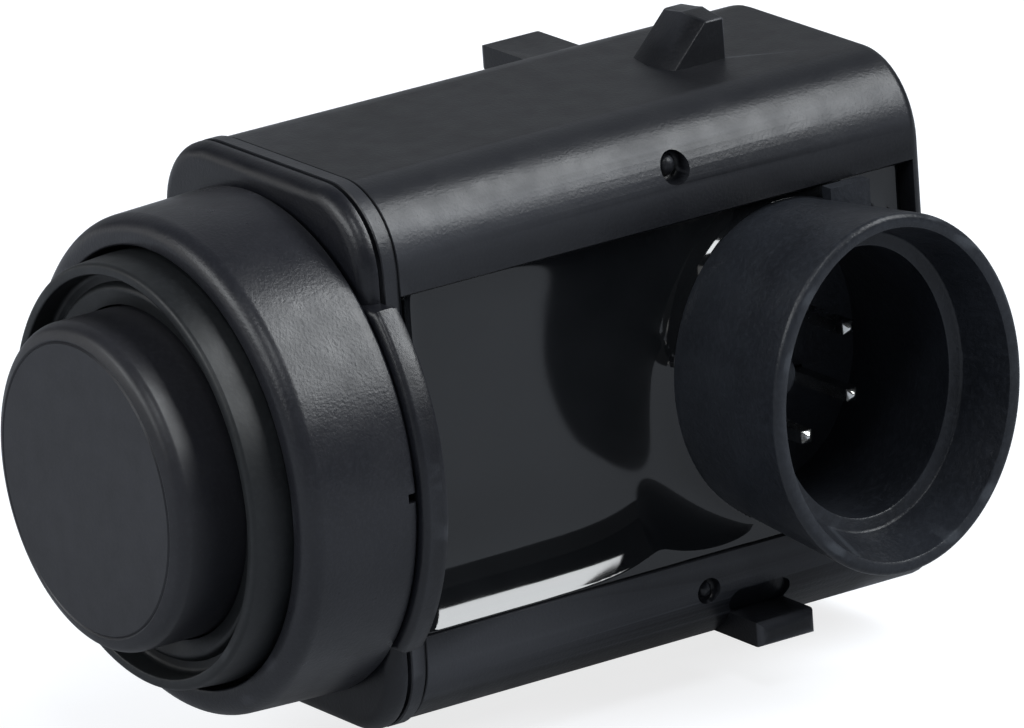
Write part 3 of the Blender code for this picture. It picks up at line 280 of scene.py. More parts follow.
cup_paint = moulded("cup_paint", (0.0128, 0.0130, 0.0155), (0.0166, 0.0168, 0.0200), 0.40,
                    grain=0.20, height=0.003, gloss=0.34)
finished("transducer_cup", cup, cup_paint, ["membrane_pot"])


# What the cup holds
# A piezo disc glued behind the membrane, a felt pad that deadens the cup, a poured silicone
# plug, and the two insulated leads that run back to the board.
def mottled(name, dark, light, size, roughness, metallic=0.0, height=0.01,
            stretch=(1.0, 1.0, 1.0)):
    """A two-tone material for a part inside the sensor."""
    material, tree, shader = plain_surface(name)
    pattern = noise(tree, size, detail=3.0, stretch=stretch)
    sheen = noise(tree, 2.0 * size)
    tree.links.new(blended(tree, spread(tree, pattern, 0.0, 1.0), dark, light),
                   shader.inputs["Base Color"])
    tree.links.new(spread(tree, sheen, roughness - 0.07, roughness + 0.07),
                   shader.inputs["Roughness"])
    shader.inputs["Metallic"].default_value = metallic
    roughened(tree, shader, pattern, height)
    return material


def dress(material, *nodes):
    """Give solids that are kept as they are their own material."""
    for node in nodes:
        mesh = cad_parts[node].data
        mesh.materials.clear()
        mesh.materials.append(material)


dress(mottled("silvered_ceramic", (0.42, 0.41, 0.36), (0.66, 0.64, 0.57), 0.25, 0.42),
      "piezo_disc")
dress(mottled("wool_felt", (0.20, 0.19, 0.17), (0.42, 0.40, 0.36), 0.35, 0.90, height=0.08,
              stretch=(2.5, 0.6, 1.0)), "damping_pad")
dress(mottled("poured_silicone", (0.50, 0.50, 0.48), (0.62, 0.62, 0.59), 1.2, 0.55, height=0.03),
      "backing_plug")
dress(mottled("red_insulation", (0.36, 0.03, 0.025), (0.50, 0.06, 0.045), 0.5, 0.42),
      "lead_wire_1")
dress(mottled("black_insulation", (0.018, 0.018, 0.020), (0.040, 0.040, 0.044), 0.5, 0.42),
      "lead_wire_2")


# Decoupling ring
# One moulding of black silicone rubber that holds the cup clear of the hard plastic.  It has
# an inner sleeve, an open channel and an outer lip in front, and a cushion behind the cup.
sleeve_front = 3.35
sleeve_radius = 8.70
channel_floor = 3.75
lip_front = 2.55
lip_inside = 9.45
lip_outside = 10.00
seat_radius = 10.15
seat_front = 4.40
flange_radius = 10.53
flange_front = 6.70
flange_back = 7.50
back_radius = 9.65
cushion_bore = 5.60
cushion_front = 9.00
cushion_back = 10.15
ring = turned([(7.85, 3.60), (sleeve_radius, sleeve_front), (8.90, channel_floor),
               (lip_inside, channel_floor), (lip_inside, lip_front), (lip_outside, lip_front),
               (seat_radius, seat_front), (seat_radius, flange_front),
               (flange_radius, flange_front), (flange_radius, flange_back),
               (back_radius, flange_back), (back_radius, cushion_back),
               (cushion_bore, cushion_back), (cushion_bore, cushion_front), (8.00, cushion_front)])
soften_circle(ring, sleeve_radius, sleeve_front, 0.20, 5)
soften_circle(ring, lip_inside, channel_floor, 0.25)
soften_circle(ring, lip_inside, lip_front, 0.10, 4)
soften_circle(ring, lip_outside, lip_front, 0.22, 6)
silicone = moulded("silicone_rubber", (0.0095, 0.0105, 0.0115), (0.0135, 0.0148, 0.0160), 0.42,
                   grain=0.26, height=0.006, edge_wear_and_highlight=(0.024, 0.026, 0.028), gloss=0.30)
finished("silicone_ring", ring, silicone, ["decoupling_ring"])


# Cover
# A glass-filled nylon moulding that closes the front of the tray: a plate with an ear on each
# side, a spigot that the collar snaps over, and a rim that enters the tray.
FINE_STEPS = 192
cover_front = 10.40
cover_back = 11.25
plate_half_x = 8.40
plate_half_z = 13.05
plate_corner = 3.80
ear_front = 10.24
ear_back = 11.57
ear_radius = 12.418
ear_half_height = 8.15
ear_root = 8.65
ear_step = 0.06


def box(low, high):
    """A block between two corners, in millimetres."""
    bm = bmesh.new()
    size = Vector(high) - Vector(low)
    middle = (Vector(high) + Vector(low)) / 2.0
    bmesh.ops.create_cube(bm, size=1.0,
                          matrix=Matrix.Translation(middle) @ Matrix.Diagonal((*size, 1.0)))
    return bm


def bar(radius, low, high, middle=(0.0, 0.0), axis="Y", segments=48):
    """A round bar along Y through (x, z), or along X through (y, z), in millimetres."""
    bm = bmesh.new()
    bmesh.ops.create_cone(bm, cap_ends=True, segments=segments, radius1=radius, radius2=radius,
                          depth=(high - low))
    along = 0.5 * (low + high)
    if axis == "Y":
        centre, hinge = (middle[0], along, middle[1]), "X"
    else:
        centre, hinge = (along, middle[0], middle[1]), "Y"
    turn_to = Matrix.Translation(Vector(centre)) @ Matrix.Rotation(math.pi / 2, 4, hinge)
    bmesh.ops.transform(bm, matrix=turn_to, verts=bm.verts)
    return bm


def rounded_bar(half_x, half_z, corner, low, high, segments=14):
    """A bar along Y with a round-cornered section, in millimetres."""
    bm = box((-half_x, low, -half_z), (half_x, high, half_z))
    along = [edge for edge in bm.edges
             if abs(edge.verts[0].co.y - edge.verts[1].co.y) > 0.5 * abs(high - low)]
    soften(bm, along, corner, segments)
    return bm


def cut_off(bm, point, normal):
    """Take away what lies beyond a plane and close the solid again."""
    bmesh.ops.bisect_plane(bm, geom=bm.verts[:] + bm.edges[:] + bm.faces[:],
                           plane_co=Vector(point), plane_no=normal, clear_outer=True)
    bmesh.ops.holes_fill(bm, edges=bm.edges, sides=0)


def soften_end(bm, y, width, segments=4):
    """Round the edges that lie in one plane across the sensor axis."""
    edges = [edge for edge in bm.edges if all(abs(vert.co.y - y) < CLOSE for vert in edge.verts)]
    soften(bm, edges, width, segments)


plate = rounded_bar(plate_half_x, plate_half_z, plate_corner, cover_front, cover_back)
soften_end(plate, cover_front, 0.76, 7)
ears = bar(ear_radius, ear_front, cover_back, segments=FINE_STEPS)
for up in (1.0, -1.0):
    cut_off(ears, (0.0, 0.0, up * ear_half_height), (0.0, 0.0, up))
bmesh.ops.recalc_face_normals(ears, faces=ears.faces)
soften_end(ears, ear_front, 0.34, 5)
cover = carve(plate, ears, "UNION")
for side in (1.0, -1.0):
    ear = bar(ear_radius - ear_step, cover_back - 0.40, ear_back, segments=FINE_STEPS)
    cut_off(ear, (0.0, 0.0, ear_half_height - ear_step), (0.0, 0.0, 1.0))
    cut_off(ear, (0.0, 0.0, ear_step - ear_half_height), (0.0, 0.0, -1.0))
    cut_off(ear, (side * ear_root, 0.0, 0.0), (-side, 0.0, 0.0))
    bmesh.ops.recalc_face_normals(ear, faces=ear.faces)
    soften_end(ear, ear_back, 0.10, 2)
    cover = carve(cover, ear, "UNION")
spigot_front = 7.65
spigot_root = 10.80
spigot_bore = 9.90
spigot_radius = 10.60
snap_radius = 10.20
cover = carve(cover, turned([(spigot_bore, spigot_root), (spigot_bore, spigot_front),
                             (10.45, spigot_front), (spigot_radius, 7.80), (spigot_radius, 8.275),
                             (snap_radius, 8.675), (snap_radius, 9.225), (spigot_radius, 9.625),
                             (spigot_radius, spigot_root)]), "UNION")
rim_half_x = 6.65
rim_half_z = 10.00
rim_corner = 2.30
rim_wall = 1.00
rim_back = 12.30
rim = carve(rounded_bar(rim_half_x, rim_half_z, rim_corner, 10.85, rim_back, 6),
            rounded_bar(rim_half_x - rim_wall, rim_half_z - rim_wall, rim_corner - rim_wall,
                        10.60, rim_back + 0.50, 6))
cover = carve(cover, rim, "UNION")
lead_hole_radius = 4.00
cover = carve(cover, bar(lead_hole_radius, 9.40, 12.25))
cover_nylon = moulded("cover_nylon", (0.0060, 0.0064, 0.0086), (0.0092, 0.0097, 0.0126), 0.34,
                      grain=0.17, height=0.011, edge_wear_and_highlight=(0.032, 0.034, 0.040), gloss=0.38)
finished("cover_plate", cover, cover_nylon, ["front_cover"])


# Retaining collar
# A second nylon moulding, a drafted ring with a round shoulder.  It is pressed over the
# spigot until its inner bead snaps home, and it keeps the rubber ring in place.
collar_front = 4.40
collar_back = 10.15
shoulder_radius = 11.75
foot_radius = 11.95
mouth_radius = 10.40
mouth_back = 6.45
collar_bore = 10.85
bead_bore = 10.45
collar = turned([(collar_bore, collar_back), (collar_bore, 9.40), (bead_bore, 9.00),
                 (bead_bore, 8.90), (collar_bore, 8.50), (collar_bore, mouth_back),
                 (mouth_radius, mouth_back), (mouth_radius, collar_front),
                 (shoulder_radius, collar_front), (11.928, 9.52), (foot_radius, collar_back)],
                FINE_STEPS)
soften_circle(collar, shoulder_radius, collar_front, 0.90, 10)
soften_circle(collar, mouth_radius, collar_front, 0.12, 3)
soften_circle(collar, foot_radius, collar_back, 0.14, 3)
collar = carve(collar, box((11.20, 9.72, -0.22), (13.00, 11.00, 0.22)))
collar_nylon = moulded("collar_nylon", (0.0115, 0.0120, 0.0150), (0.0165, 0.0170, 0.0205), 0.32,
                       grain=0.17, height=0.013, edge_wear_and_highlight=(0.034, 0.035, 0.041), gloss=0.34)
finished("snap_collar", collar, collar_nylon, ["retaining_collar"])


# Tray housing
# The main nylon moulding: a tray that is open in front and has a potting window on its right
# side.  It carries the latch wedges, the side catches and the marks of the two gates.
tray_half_x = 8.30
tray_half_z = 12.95
tray_corner = 3.70
tray_front = 11.50
tray_back = 41.65
tray_round = 0.62
band_back = 12.25
band_height = 0.10
band_chamfer = 0.06
groove_back = 12.40
groove_bottom = -0.08
hollow_half_x = 6.90
hollow_half_z = 11.55
hollow_back = 40.90
rail_half_z = 10.25
rail_edge = -3.60
window_front = 12.60
window_half_z = 8.00
window_middle = 26.0
window_flare = 0.85


def drawn_section(half_x, half_z, corner, stations, segments=14):
    """A round-cornered section drawn along Y through (y, growth) stations, in millimetres."""
    start = stations[0][0]
    bm = rounded_bar(half_x, half_z, corner, start, start + 0.01, segments)
    far = [face for face in bm.faces if all(vert.co.y > (start + 0.005) for vert in face.verts)]
    grown = 0.0
    for y, growth in stations:
        drawn = bmesh.ops.extrude_face_region(bm, geom=far)["geom"]
        bmesh.ops.delete(bm, geom=far, context="FACES_ONLY")
        far = [item for item in drawn if isinstance(item, bmesh.types.BMFace)]
        verts = [item for item in drawn if isinstance(item, bmesh.types.BMVert)]
        here = verts[0].co.y
        scale = Matrix.Diagonal(((half_x + growth) / (half_x + grown), 1.0,
                                 (half_z + growth) / (half_z + grown), 1.0))
        bmesh.ops.transform(bm, matrix=Matrix.Translation((0.0, y - here, 0.0)) @ scale,
                            verts=verts)
        grown = growth
    bmesh.ops.remove_doubles(bm, verts=bm.verts, dist=CLOSE)
    bmesh.ops.recalc_face_normals(bm, faces=bm.faces)
    return bm


def round_stations(y, growth, radius, steps):
    """The stations of a round at the back edge of a drawn section."""
    bends = [(0.5 * math.pi * i / steps) for i in range(steps + 1)]
    return [(y - radius + radius * math.sin(bend), growth - radius + radius * math.cos(bend))
            for bend in bends]


tray = drawn_section(tray_half_x, tray_half_z, tray_corner, [
    (tray_front, band_height - band_chamfer), (tray_front + band_chamfer, band_height),
    (band_back - band_chamfer, band_height), (band_back, band_height - band_chamfer),
    (band_back, groove_bottom), (groove_back, groove_bottom), (groove_back, -0.04), (12.45, 0.0)]
    + round_stations(tray_back, 0.0, tray_round, 6))
core = rounded_bar(hollow_half_x, hollow_half_z, 2.30, 10.0, hollow_back, 8)
core = carve(core, box((-7.2, 9.0, rail_half_z), (rail_edge, 42.0, 13.0)))
core = carve(core, box((-7.2, 9.0, -13.0), (rail_edge, 42.0, -rail_half_z)))
tray = carve(tray, core)
window = box((6.5, window_front, -window_half_z), (8.05, hollow_back, window_half_z))
flare = box((8.00, window_front, -window_half_z), (9.5, hollow_back, window_half_z))
mouth = [vert for vert in flare.verts if vert.co.x > 9.0]
for vert in mouth:
    vert.co.y += math.copysign(window_flare, vert.co.y - window_middle)
    vert.co.z += math.copysign(window_flare, vert.co.z)
tray = carve(tray, carve(window, flare, "UNION"))

wall_sink = 12.45
crest = (0.0, 34.30, 15.10)
wedge_half_x = 1.70
wedge_front = 31.60
wedge_back = 35.52
catch_out = -10.20
catch_under = 11.35
catch_top = 12.55
pocket_front = 29.15
pocket_back = 33.10
pocket_middle = 31.12
pocket_bottom = 9.95
pocket_floor = -7.45


def latch_wedge():
    """A ramp up to a crest, its top ridged along the middle and its upper edges rounded."""
    bm = box((-wedge_half_x, wedge_front, wall_sink), (wedge_half_x, wedge_back, crest[2]))
    for lean in (-1.0, 1.0):
        cut_off(bm, crest, (lean * 0.15, -0.71, 0.69))
        cut_off(bm, crest, (lean * 0.10, 0.0, 1.0))
    bmesh.ops.recalc_face_normals(bm, faces=bm.faces)
    upper = [edge for edge in bm.edges if edge.calc_face_angle() > math.radians(25)
             and any(vert.co.z > wall_sink + 0.15 for vert in edge.verts)]
    soften(bm, upper, 0.13, 3)
    return bm


def half_turned(bm):
    """Turn a solid half round the sensor axis."""
    bmesh.ops.transform(bm, matrix=Matrix.Rotation(math.pi, 4, "Y"), verts=bm.verts)
    return bm


def side_catch():
    """The catch on the left wall near the top."""
    bm = box((catch_out, 29.60, catch_under), (-4.60, 32.75, catch_top))
    outer = [edge for edge in bm.edges if all(vert.co.x < -9.0 for vert in edge.verts)]
    soften(bm, outer, 0.50, 6)
    return bm


def catch_pocket():
    """The scooped relief in the wall beside a catch."""
    bm = box((-9.50, pocket_front, pocket_bottom), (-7.95, pocket_back, catch_under))
    soften(bm, [edge for edge in bm.edges
                if abs(edge.verts[0].co.x - edge.verts[1].co.x) > 1.0], 0.70, 8)
    for vert in bm.verts:
        if vert.co.x > -8.5:
            vert.co.y = pocket_middle + 0.84 * (vert.co.y - pocket_middle)
            vert.co.z = catch_under + 0.80 * (vert.co.z - catch_under)
            vert.co.x = pocket_floor - 0.50 * (catch_under - vert.co.z) / 1.40
    soften(bm, [edge for edge in bm.edges if all(vert.co.x > -8.5 for vert in edge.verts)],
           0.24, 4)
    return bm


for shape, operation in ((latch_wedge, "UNION"), (side_catch, "UNION"),
                         (catch_pocket, "DIFFERENCE")):
    tray = carve(tray, shape(), operation)
    tray = carve(tray, half_turned(shape()), operation)
for gate_floor, gate_y, gate_z, gate_radius in ((7.15, 28.00, 10.65, 0.78),
                                                (7.70, 28.15, -9.80, 0.64)):
    gate = bar(gate_radius, gate_floor, 9.50, (gate_y, gate_z), "X", 48)
    soften(gate, [edge for edge in gate.edges
                  if all(vert.co.x < gate_floor + 0.05 for vert in edge.verts)], 0.30, 4)
    tray = carve(tray, gate)
    stub = bmesh.new()
    bmesh.ops.create_uvsphere(stub, u_segments=32, v_segments=16, radius=0.64 * gate_radius,
                              matrix=Matrix.Translation(Vector((gate_floor + 0.01, gate_y, gate_z)))
                              @ Matrix.Diagonal((0.90, 1.0, 1.0, 1.0)))
    tray = carve(tray, stub, "UNION")
# Its edges are painted lighter than on the other mouldings, partly as wear and partly as a painted
# highlight.
tray_nylon = moulded("tray_nylon", (0.0056, 0.0060, 0.0076), (0.0086, 0.0092, 0.0112), 0.33,
                     grain=0.16, height=0.013, edge_wear_and_highlight=(0.055, 0.057, 0.064), gloss=0.27)
finished("tray_moulding", tray, tray_nylon, ["housing"])


# Board and its parts
# A glass-fibre board with a control chip, capacitors, a small transformer and resistors.
# Resin covers all of it in the finished sensor.
dress(mottled("green_laminate", (0.020, 0.090, 0.035), (0.035, 0.150, 0.060), 0.30, 0.35,
              stretch=(1.0, 3.0, 1.0)), "circuit_board")
dress(mottled("chip_resin", (0.012, 0.012, 0.013), (0.026, 0.026, 0.028), 0.08, 0.55),
      "control_chip", "diode")
dress(mottled("capacitor_ceramic", (0.30, 0.19, 0.11), (0.46, 0.31, 0.19), 0.12, 0.45),
      "filter_capacitor_1", "filter_capacitor_2")
dress(mottled("resistor_film", (0.015, 0.015, 0.017), (0.060, 0.060, 0.066), 0.15, 0.40),
      "resistor_1", "resistor_2", "resistor_3")
dress(mottled("drawn_can", (0.48, 0.48, 0.49), (0.66, 0.66, 0.67), 0.20, 0.30, metallic=1.0,
              stretch=(6.0, 1.0, 1.0)), "storage_capacitor")
dress(mottled("ferrite", (0.030, 0.029, 0.028), (0.065, 0.062, 0.060), 0.14, 0.60),
      "transformer_core")
dress(mottled("bobbin_plastic", (0.06, 0.06, 0.06), (0.10, 0.10, 0.10), 0.60, 0.45),
      "transformer_bobbin")
dress(mottled("enamelled_copper", (0.34, 0.12, 0.04), (0.62, 0.27, 0.11), 0.12, 0.32,
              metallic=1.0, stretch=(1.0, 8.0, 8.0)), "transformer_winding")


# Connector insert
# A second-colour nylon insert that stands on the board and passes out through the window: a
# flared oval shroud round a stepped socket, with a key rib, a stop tab and four legs.
OVAL_STEPS = 144
base_middle = 33.95
base_half_y = 6.70
base_half_z = 7.75
mouth_middle = 34.20
mouth_front = 15.60
mouth_round = 0.30
mouth_half_y = 6.67
mouth_half_z = 8.30
socket_half_y = 4.85
socket_half_z = 6.48
socket_floor = 5.50
ledge_height = 13.10


def oval_tube(stations, segments=OVAL_STEPS):
    """An oval drawn along X through (x, middle y, half y, half z) stations, closed at the ends."""
    bm = bmesh.new()
    start = bmesh.ops.create_circle(bm, cap_ends=False, segments=segments, radius=1.0)["verts"]
    bmesh.ops.transform(bm, matrix=Matrix.Rotation(math.pi / 2, 4, "Y"), verts=start)
    edges = bm.edges[:]
    bmesh.ops.edgeloop_fill(bm, edges=edges)
    verts = start
    old = (0.0, 0.0, 1.0, 1.0)
    for number, station in enumerate(stations):
        if number:
            drawn = bmesh.ops.extrude_edge_only(bm, edges=edges)["geom"]
            verts = [item for item in drawn if isinstance(item, bmesh.types.BMVert)]
            edges = [item for item in drawn if isinstance(item, bmesh.types.BMEdge)
                     and set(verts).issuperset(item.verts)]
        scale_y = station[2] / old[2]
        scale_z = station[3] / old[3]
        shift = (Matrix.Translation(Vector((station[0], station[1], 0.0)))
                 @ Matrix.Diagonal((1.0, scale_y, scale_z, 1.0))
                 @ Matrix.Translation(Vector((-old[0], -old[1], 0.0))))
        bmesh.ops.transform(bm, matrix=shift, verts=verts)
        old = station
    bmesh.ops.edgeloop_fill(bm, edges=edges)
    bmesh.ops.remove_doubles(bm, verts=bm.verts, dist=CLOSE)
    bmesh.ops.recalc_face_normals(bm, faces=bm.faces)
    return bm


shroud_stations = [(2.50, base_middle, base_half_y, base_half_z),
                   (8.30, base_middle, base_half_y, base_half_z)]
for i in range(7):
    bend = 0.5 * math.pi * i / 6
    shroud_stations.append((mouth_front + mouth_round * math.sin(bend), mouth_middle,
                            mouth_half_y + mouth_round * math.cos(bend),
                            mouth_half_z + mouth_round * math.cos(bend)))
for x, half_y, half_z in (
        (15.90, 6.44, 8.07), (15.83, 6.31, 7.94), (15.70, 6.27, 7.90),
        (13.22, 5.58, 7.21), (13.14, 5.52, 7.15), (ledge_height, 5.42, 7.05),
        (ledge_height, 4.95, 6.58), (13.05, 4.87, 6.50), (12.95, socket_half_y, socket_half_z),
        (socket_floor, socket_half_y, socket_half_z)):
    shroud_stations.append((x, mouth_middle, half_y, half_z))
insert = oval_tube(shroud_stations)
rib_front = 28.95
rib_back = 31.85
rib_half = 1.10
rib_foot = 5.10
rib_top = 9.50
rib_bend = [(-0.5 * math.pi + math.pi * i / 16) for i in range(17)]
rib_outline = [(rib_front, rib_half), (rib_front, -rib_half)]
rib_outline += [(rib_back + rib_half * math.cos(a), rib_half * math.sin(a)) for a in rib_bend]
rib = prism([(rib_foot, y, z) for y, z in rib_outline], (rib_top - rib_foot, 0.0, 0.0))
soften(rib, [edge for edge in rib.edges
             if all(vert.co.x > rib_top - 0.10 for vert in edge.verts)], 0.12, 3)
insert = carve(insert, rib, "UNION")
leg_offset = 4.20
leg_radius = 0.90
for leg_y in (base_middle - leg_offset, base_middle + leg_offset):
    for leg_z in (-leg_offset, leg_offset):
        insert = carve(insert, bar(leg_radius, -2.10, 2.90, (leg_y, leg_z), "X", 32), "UNION")
tab_start = 1.75
tab_end = 3.95
tab_top = 8.15
tab_foot = 8.55
tab_face = 9.25
tab_outline = []
for i in range(9):
    offset = tab_start + 2.20 * i / 8
    tab_outline.append((base_middle + offset, 7.35 * math.sqrt(1.0 - (offset / 6.30) ** 2)))
tab_outline += [(base_middle + tab_end, tab_top), (base_middle + tab_start, tab_top)]
tab = prism([(tab_foot, y, z) for y, z in tab_outline], (tab_face - tab_foot, 0.0, 0.0))
insert = carve(insert, tab, "UNION")
pin_places = [(32.95, 3.03), (35.63, 1.62), (35.63, -1.62), (32.95, -3.03)]
pin_hole = 0.38
for pin_y, pin_z in pin_places:
    insert = carve(insert, box((1.0, pin_y - pin_hole, pin_z - pin_hole),
                               (6.5, pin_y + pin_hole, pin_z + pin_hole)))
insert_nylon = moulded("insert_nylon", (0.0098, 0.0110, 0.0140), (0.0172, 0.0193, 0.0240), 0.36,
                       grain=0.30, height=0.030, edge_wear_and_highlight=(0.045, 0.050, 0.058), gloss=0.30)
finished("plug_insert", insert, insert_nylon, ["connector_shroud"])


# Contact pins
# Four square pins of tinned brass wire, coined to a blunt point and pressed through the
# insert and the board.
pin_half = 0.32
pin_front = 10.00
pin_back = -3.70
front_point = 0.20
back_point = -0.45
point_share = 0.25
tinned = mottled("tinned_brass", (0.60, 0.60, 0.58), (0.82, 0.82, 0.80), 0.30, 0.22,
                 metallic=1.0, height=0.002)
for number, (pin_y, pin_z) in enumerate(pin_places, 1):
    pin = box((pin_back, pin_y - pin_half, pin_z - pin_half),
              (pin_front, pin_y + pin_half, pin_z + pin_half))
    centre = Vector((0.0, pin_y, pin_z))
    for end, step in ((1.0, front_point), (-1.0, back_point)):
        faces = [face for face in pin.faces if face.normal.x * end > 0.9]
        tip = pulled(pin, faces)
        bmesh.ops.delete(pin, geom=faces, context="FACES_ONLY")
        bmesh.ops.transform(pin, verts=tip, matrix=Matrix.Translation((step, 0.0, 0.0))
                            @ Matrix.Translation(centre)
                            @ Matrix.Diagonal((1.0, point_share, point_share, 1.0))
                            @ Matrix.Translation(-centre))
    bmesh.ops.recalc_face_normals(pin, faces=pin.faces)
    soften(pin, pin.edges[:], 0.05, 2)
    finished("plug_pin_%d" % number, pin, tinned, ["contact_pin_%d" % number])


# Potting resin
# Black epoxy, poured over the board through the window.  It has set glossy in a shallow bowl,
# climbs at its foot, creeps up every wall that it touches and stands in a bead round the
# insert.
lip_height = 8.28
bowl_level = 7.22
bowl_fall = 0.34
fall_start = 13.6
fall_end = 24.4
foot_start = -4.65
foot_bend = 0.235
foot_fade = 3.4
peak_place = 25.6
peak_height = 1.2
peak_blunt = 0.5
peak_width = 1.5
wall_creep = 0.10
wall_reach = 0.30
insert_creep = 0.62
insert_reach = 0.95
bead_reach = 0.45
bead_width = 2.5
bead_seam = 0.006
bead_steps = 16
skin_floor = 6.55
fill_top = 6.64


def clamped(value):
    """Keep a value between nought and one."""
    return min(max(value, 0.0), 1.0)


def resin_height(y, z):
    """The height of the set resin, in millimetres along X: a shallow bowl that creeps up."""
    along = clamped((y - fall_start) / (fall_end - fall_start))
    near_foot = clamped((z - foot_start) / foot_fade)
    fall = bowl_fall * 0.5 * (1.0 + math.cos(math.pi * along))
    height = bowl_level + fall * near_foot ** 2 * (3.0 - 2.0 * near_foot)
    peak = peak_height * math.exp(-math.hypot(y - peak_place, peak_blunt) / peak_width)
    below = max(foot_start + peak - z, 0.0)
    foot = -math.log(max(math.cos(foot_bend * below), 0.3)) / foot_bend
    full = -math.log(math.cos(foot_bend * (foot_start + window_half_z))) / foot_bend
    height += foot * (lip_height - height) / full
    height += wall_creep * (math.exp(-(window_half_z - z) / wall_reach)
                            + math.exp(-(hollow_back - y) / wall_reach))
    height += (lip_height - height) * math.exp(-(y - window_front) / wall_reach)
    around = math.hypot((y - base_middle) / base_half_y, z / base_half_z)
    distance = max(around - 1.0, 0.0) * 7.2
    low = 1.0 - clamped((z - 1.0) / 3.0)
    height += insert_creep * low ** 2 * (3.0 - 2.0 * low) * math.exp(-distance / insert_reach)
    return min(height, lip_height)


pool = bmesh.new()
bmesh.ops.create_grid(pool, x_segments=260, y_segments=148, size=0.5,
                      matrix=Matrix.Translation((0.0, 26.75, 0.0))
                      @ Matrix.Rotation(math.pi / 2, 4, "Y")
                      @ Matrix.Diagonal((16.04, 28.34, 1.0, 1.0)))
skin = pulled(pool, pool.faces[:])
for vert in set(pool.verts) - set(skin):
    vert.co.x = skin_floor
for vert in skin:
    vert.co.x = resin_height(vert.co.y, vert.co.z)
bmesh.ops.recalc_face_normals(pool, faces=pool.faces)
fill = bmesh.new()
fill.from_mesh(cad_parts["potting_compound"].data)
bmesh.ops.scale(fill, vec=(1.0 / MM, 1.0 / MM, 1.0 / MM), verts=fill.verts)
bmesh.ops.remove_doubles(fill, verts=fill.verts, dist=CLOSE)
fill = carve(fill, box((fill_top, 10.0, -9.0), (9.0, 43.0, 9.0)))
pool = carve(pool, fill, "UNION")
bead_stations = [(6.80, base_middle, 9.20, 10.25)]
for i in range(bead_steps + 1):
    out = bead_width * (1.0 - i / bead_steps) ** 2
    climb = insert_creep * math.exp(-out / bead_reach) - bead_seam
    bead_stations.append((bowl_level + climb, base_middle, base_half_y + out, base_half_z + out))
bead = carve(oval_tube(bead_stations),
             box((6.0, window_front, -8.01), (9.0, hollow_back + 0.01, 8.01)), "INTERSECT")
pool = carve(pool, bead, "UNION")
shroud_hole = (base_middle, base_half_y - 0.04, base_half_z - 0.04)
pool = carve(pool, oval_tube([(2.25, *shroud_hole), (10.0, *shroud_hole)]))


def poured(name, dark, light):
    """Set epoxy: almost black, glossy, with a faint swirl and fine dust in its skin."""
    material, tree, shader = plain_surface(name, gloss=0.60)
    swirl = noise(tree, size=5.0, detail=3.0)
    dust = noise(tree, size=0.10, detail=2.0)
    colour = blended(tree, spread(tree, swirl, 0.0, 1.0), dark, light)
    specks = spread(tree, dust, 0.0, 0.20, start=0.66, end=0.80)
    colour = blended(tree, specks, colour, (0.05, 0.05, 0.05))
    tree.links.new(colour, shader.inputs["Base Color"])
    tree.links.new(spread(tree, swirl, 0.05, 0.09), shader.inputs["Roughness"])
    roughened(tree, shader, noise(tree, size=4.0, detail=1.0), 0.010)
    return material


resin = poured("potting_resin", (0.0035, 0.0040, 0.0045), (0.0060, 0.0065, 0.0075))
finished("potting_resin", pool, resin, ["potting_compound"],
         smooth=50.0)


# Floor and light
# A pale floor in a white studio with four softboxes: the key high behind on the right, a strip
# in front, a small one above and a fill behind on the left.  Seven dark cards, seen only by
# the gloss, keep the white walls out of it.
floor_height = -15.10
floor_radius = 3.0
glow_to_camera = 0.78
glow_in_gloss = 0.08
floor = bmesh.new()
bmesh.ops.create_circle(floor, cap_ends=True, segments=96, radius=floor_radius,
                        matrix=Matrix.Translation((0.0, 0.020, floor_height * MM)))
floor_item = placed("floor", floor)
pale, tree, shader = plain_surface("pale_floor", gloss=0.0)
floor_item.data.materials.append(pale)
shader.inputs["Base Color"].default_value = (0.31, 0.325, 0.35, 1.0)
shader.inputs["Roughness"].default_value = 0.9
glow = tree.nodes.new("ShaderNodeEmission")
glow.inputs["Color"].default_value = (1.0, 1.0, 1.0, 1.0)
path = tree.nodes.new("ShaderNodeLightPath")
level = spread(tree, path.outputs["Is Camera Ray"], glow_in_gloss, glow_to_camera, 0.0, 1.0)
tree.links.new(level, glow.inputs["Strength"])


def by_ray(tree, path, first, second, output):
    """Show the second shader to the camera, to gloss and to glass, and the first elsewhere."""
    total = path.outputs["Is Camera Ray"]
    for kind in ("Is Glossy Ray", "Is Transmission Ray"):
        either = tree.nodes.new("ShaderNodeMath")
        either.operation = "MAXIMUM"
        tree.links.new(total, either.inputs[0])
        tree.links.new(path.outputs[kind], either.inputs[1])
        total = either.outputs[0]
    choice = tree.nodes.new("ShaderNodeMixShader")
    tree.links.new(total, choice.inputs["Fac"])
    tree.links.new(first, choice.inputs[1])
    tree.links.new(second, choice.inputs[2])
    tree.links.new(choice.outputs["Shader"], tree.nodes[output].inputs["Surface"])


added = tree.nodes.new("ShaderNodeAddShader")
tree.links.new(shader.outputs["BSDF"], added.inputs[0])
tree.links.new(glow.outputs["Emission"], added.inputs[1])
by_ray(tree, path, shader.outputs["BSDF"], added.outputs["Shader"], "Material Output")

room_tint = (0.92, 0.98, 1.10, 1.0)
room_level = 0.35
world = bpy.data.worlds.new("studio")
scene.world = world
world.use_nodes = True
tree = world.node_tree
soft = tree.nodes["Background"]
soft.inputs["Color"].default_value = room_tint
soft.inputs["Strength"].default_value = room_level
white = tree.nodes.new("ShaderNodeBackground")
white.inputs["Color"].default_value = (1.0, 1.0, 1.0, 1.0)
white.inputs["Strength"].default_value = 1.0
by_ray(tree, tree.nodes.new("ShaderNodeLightPath"), soft.outputs["Background"],
       white.outputs["Background"], "World Output")


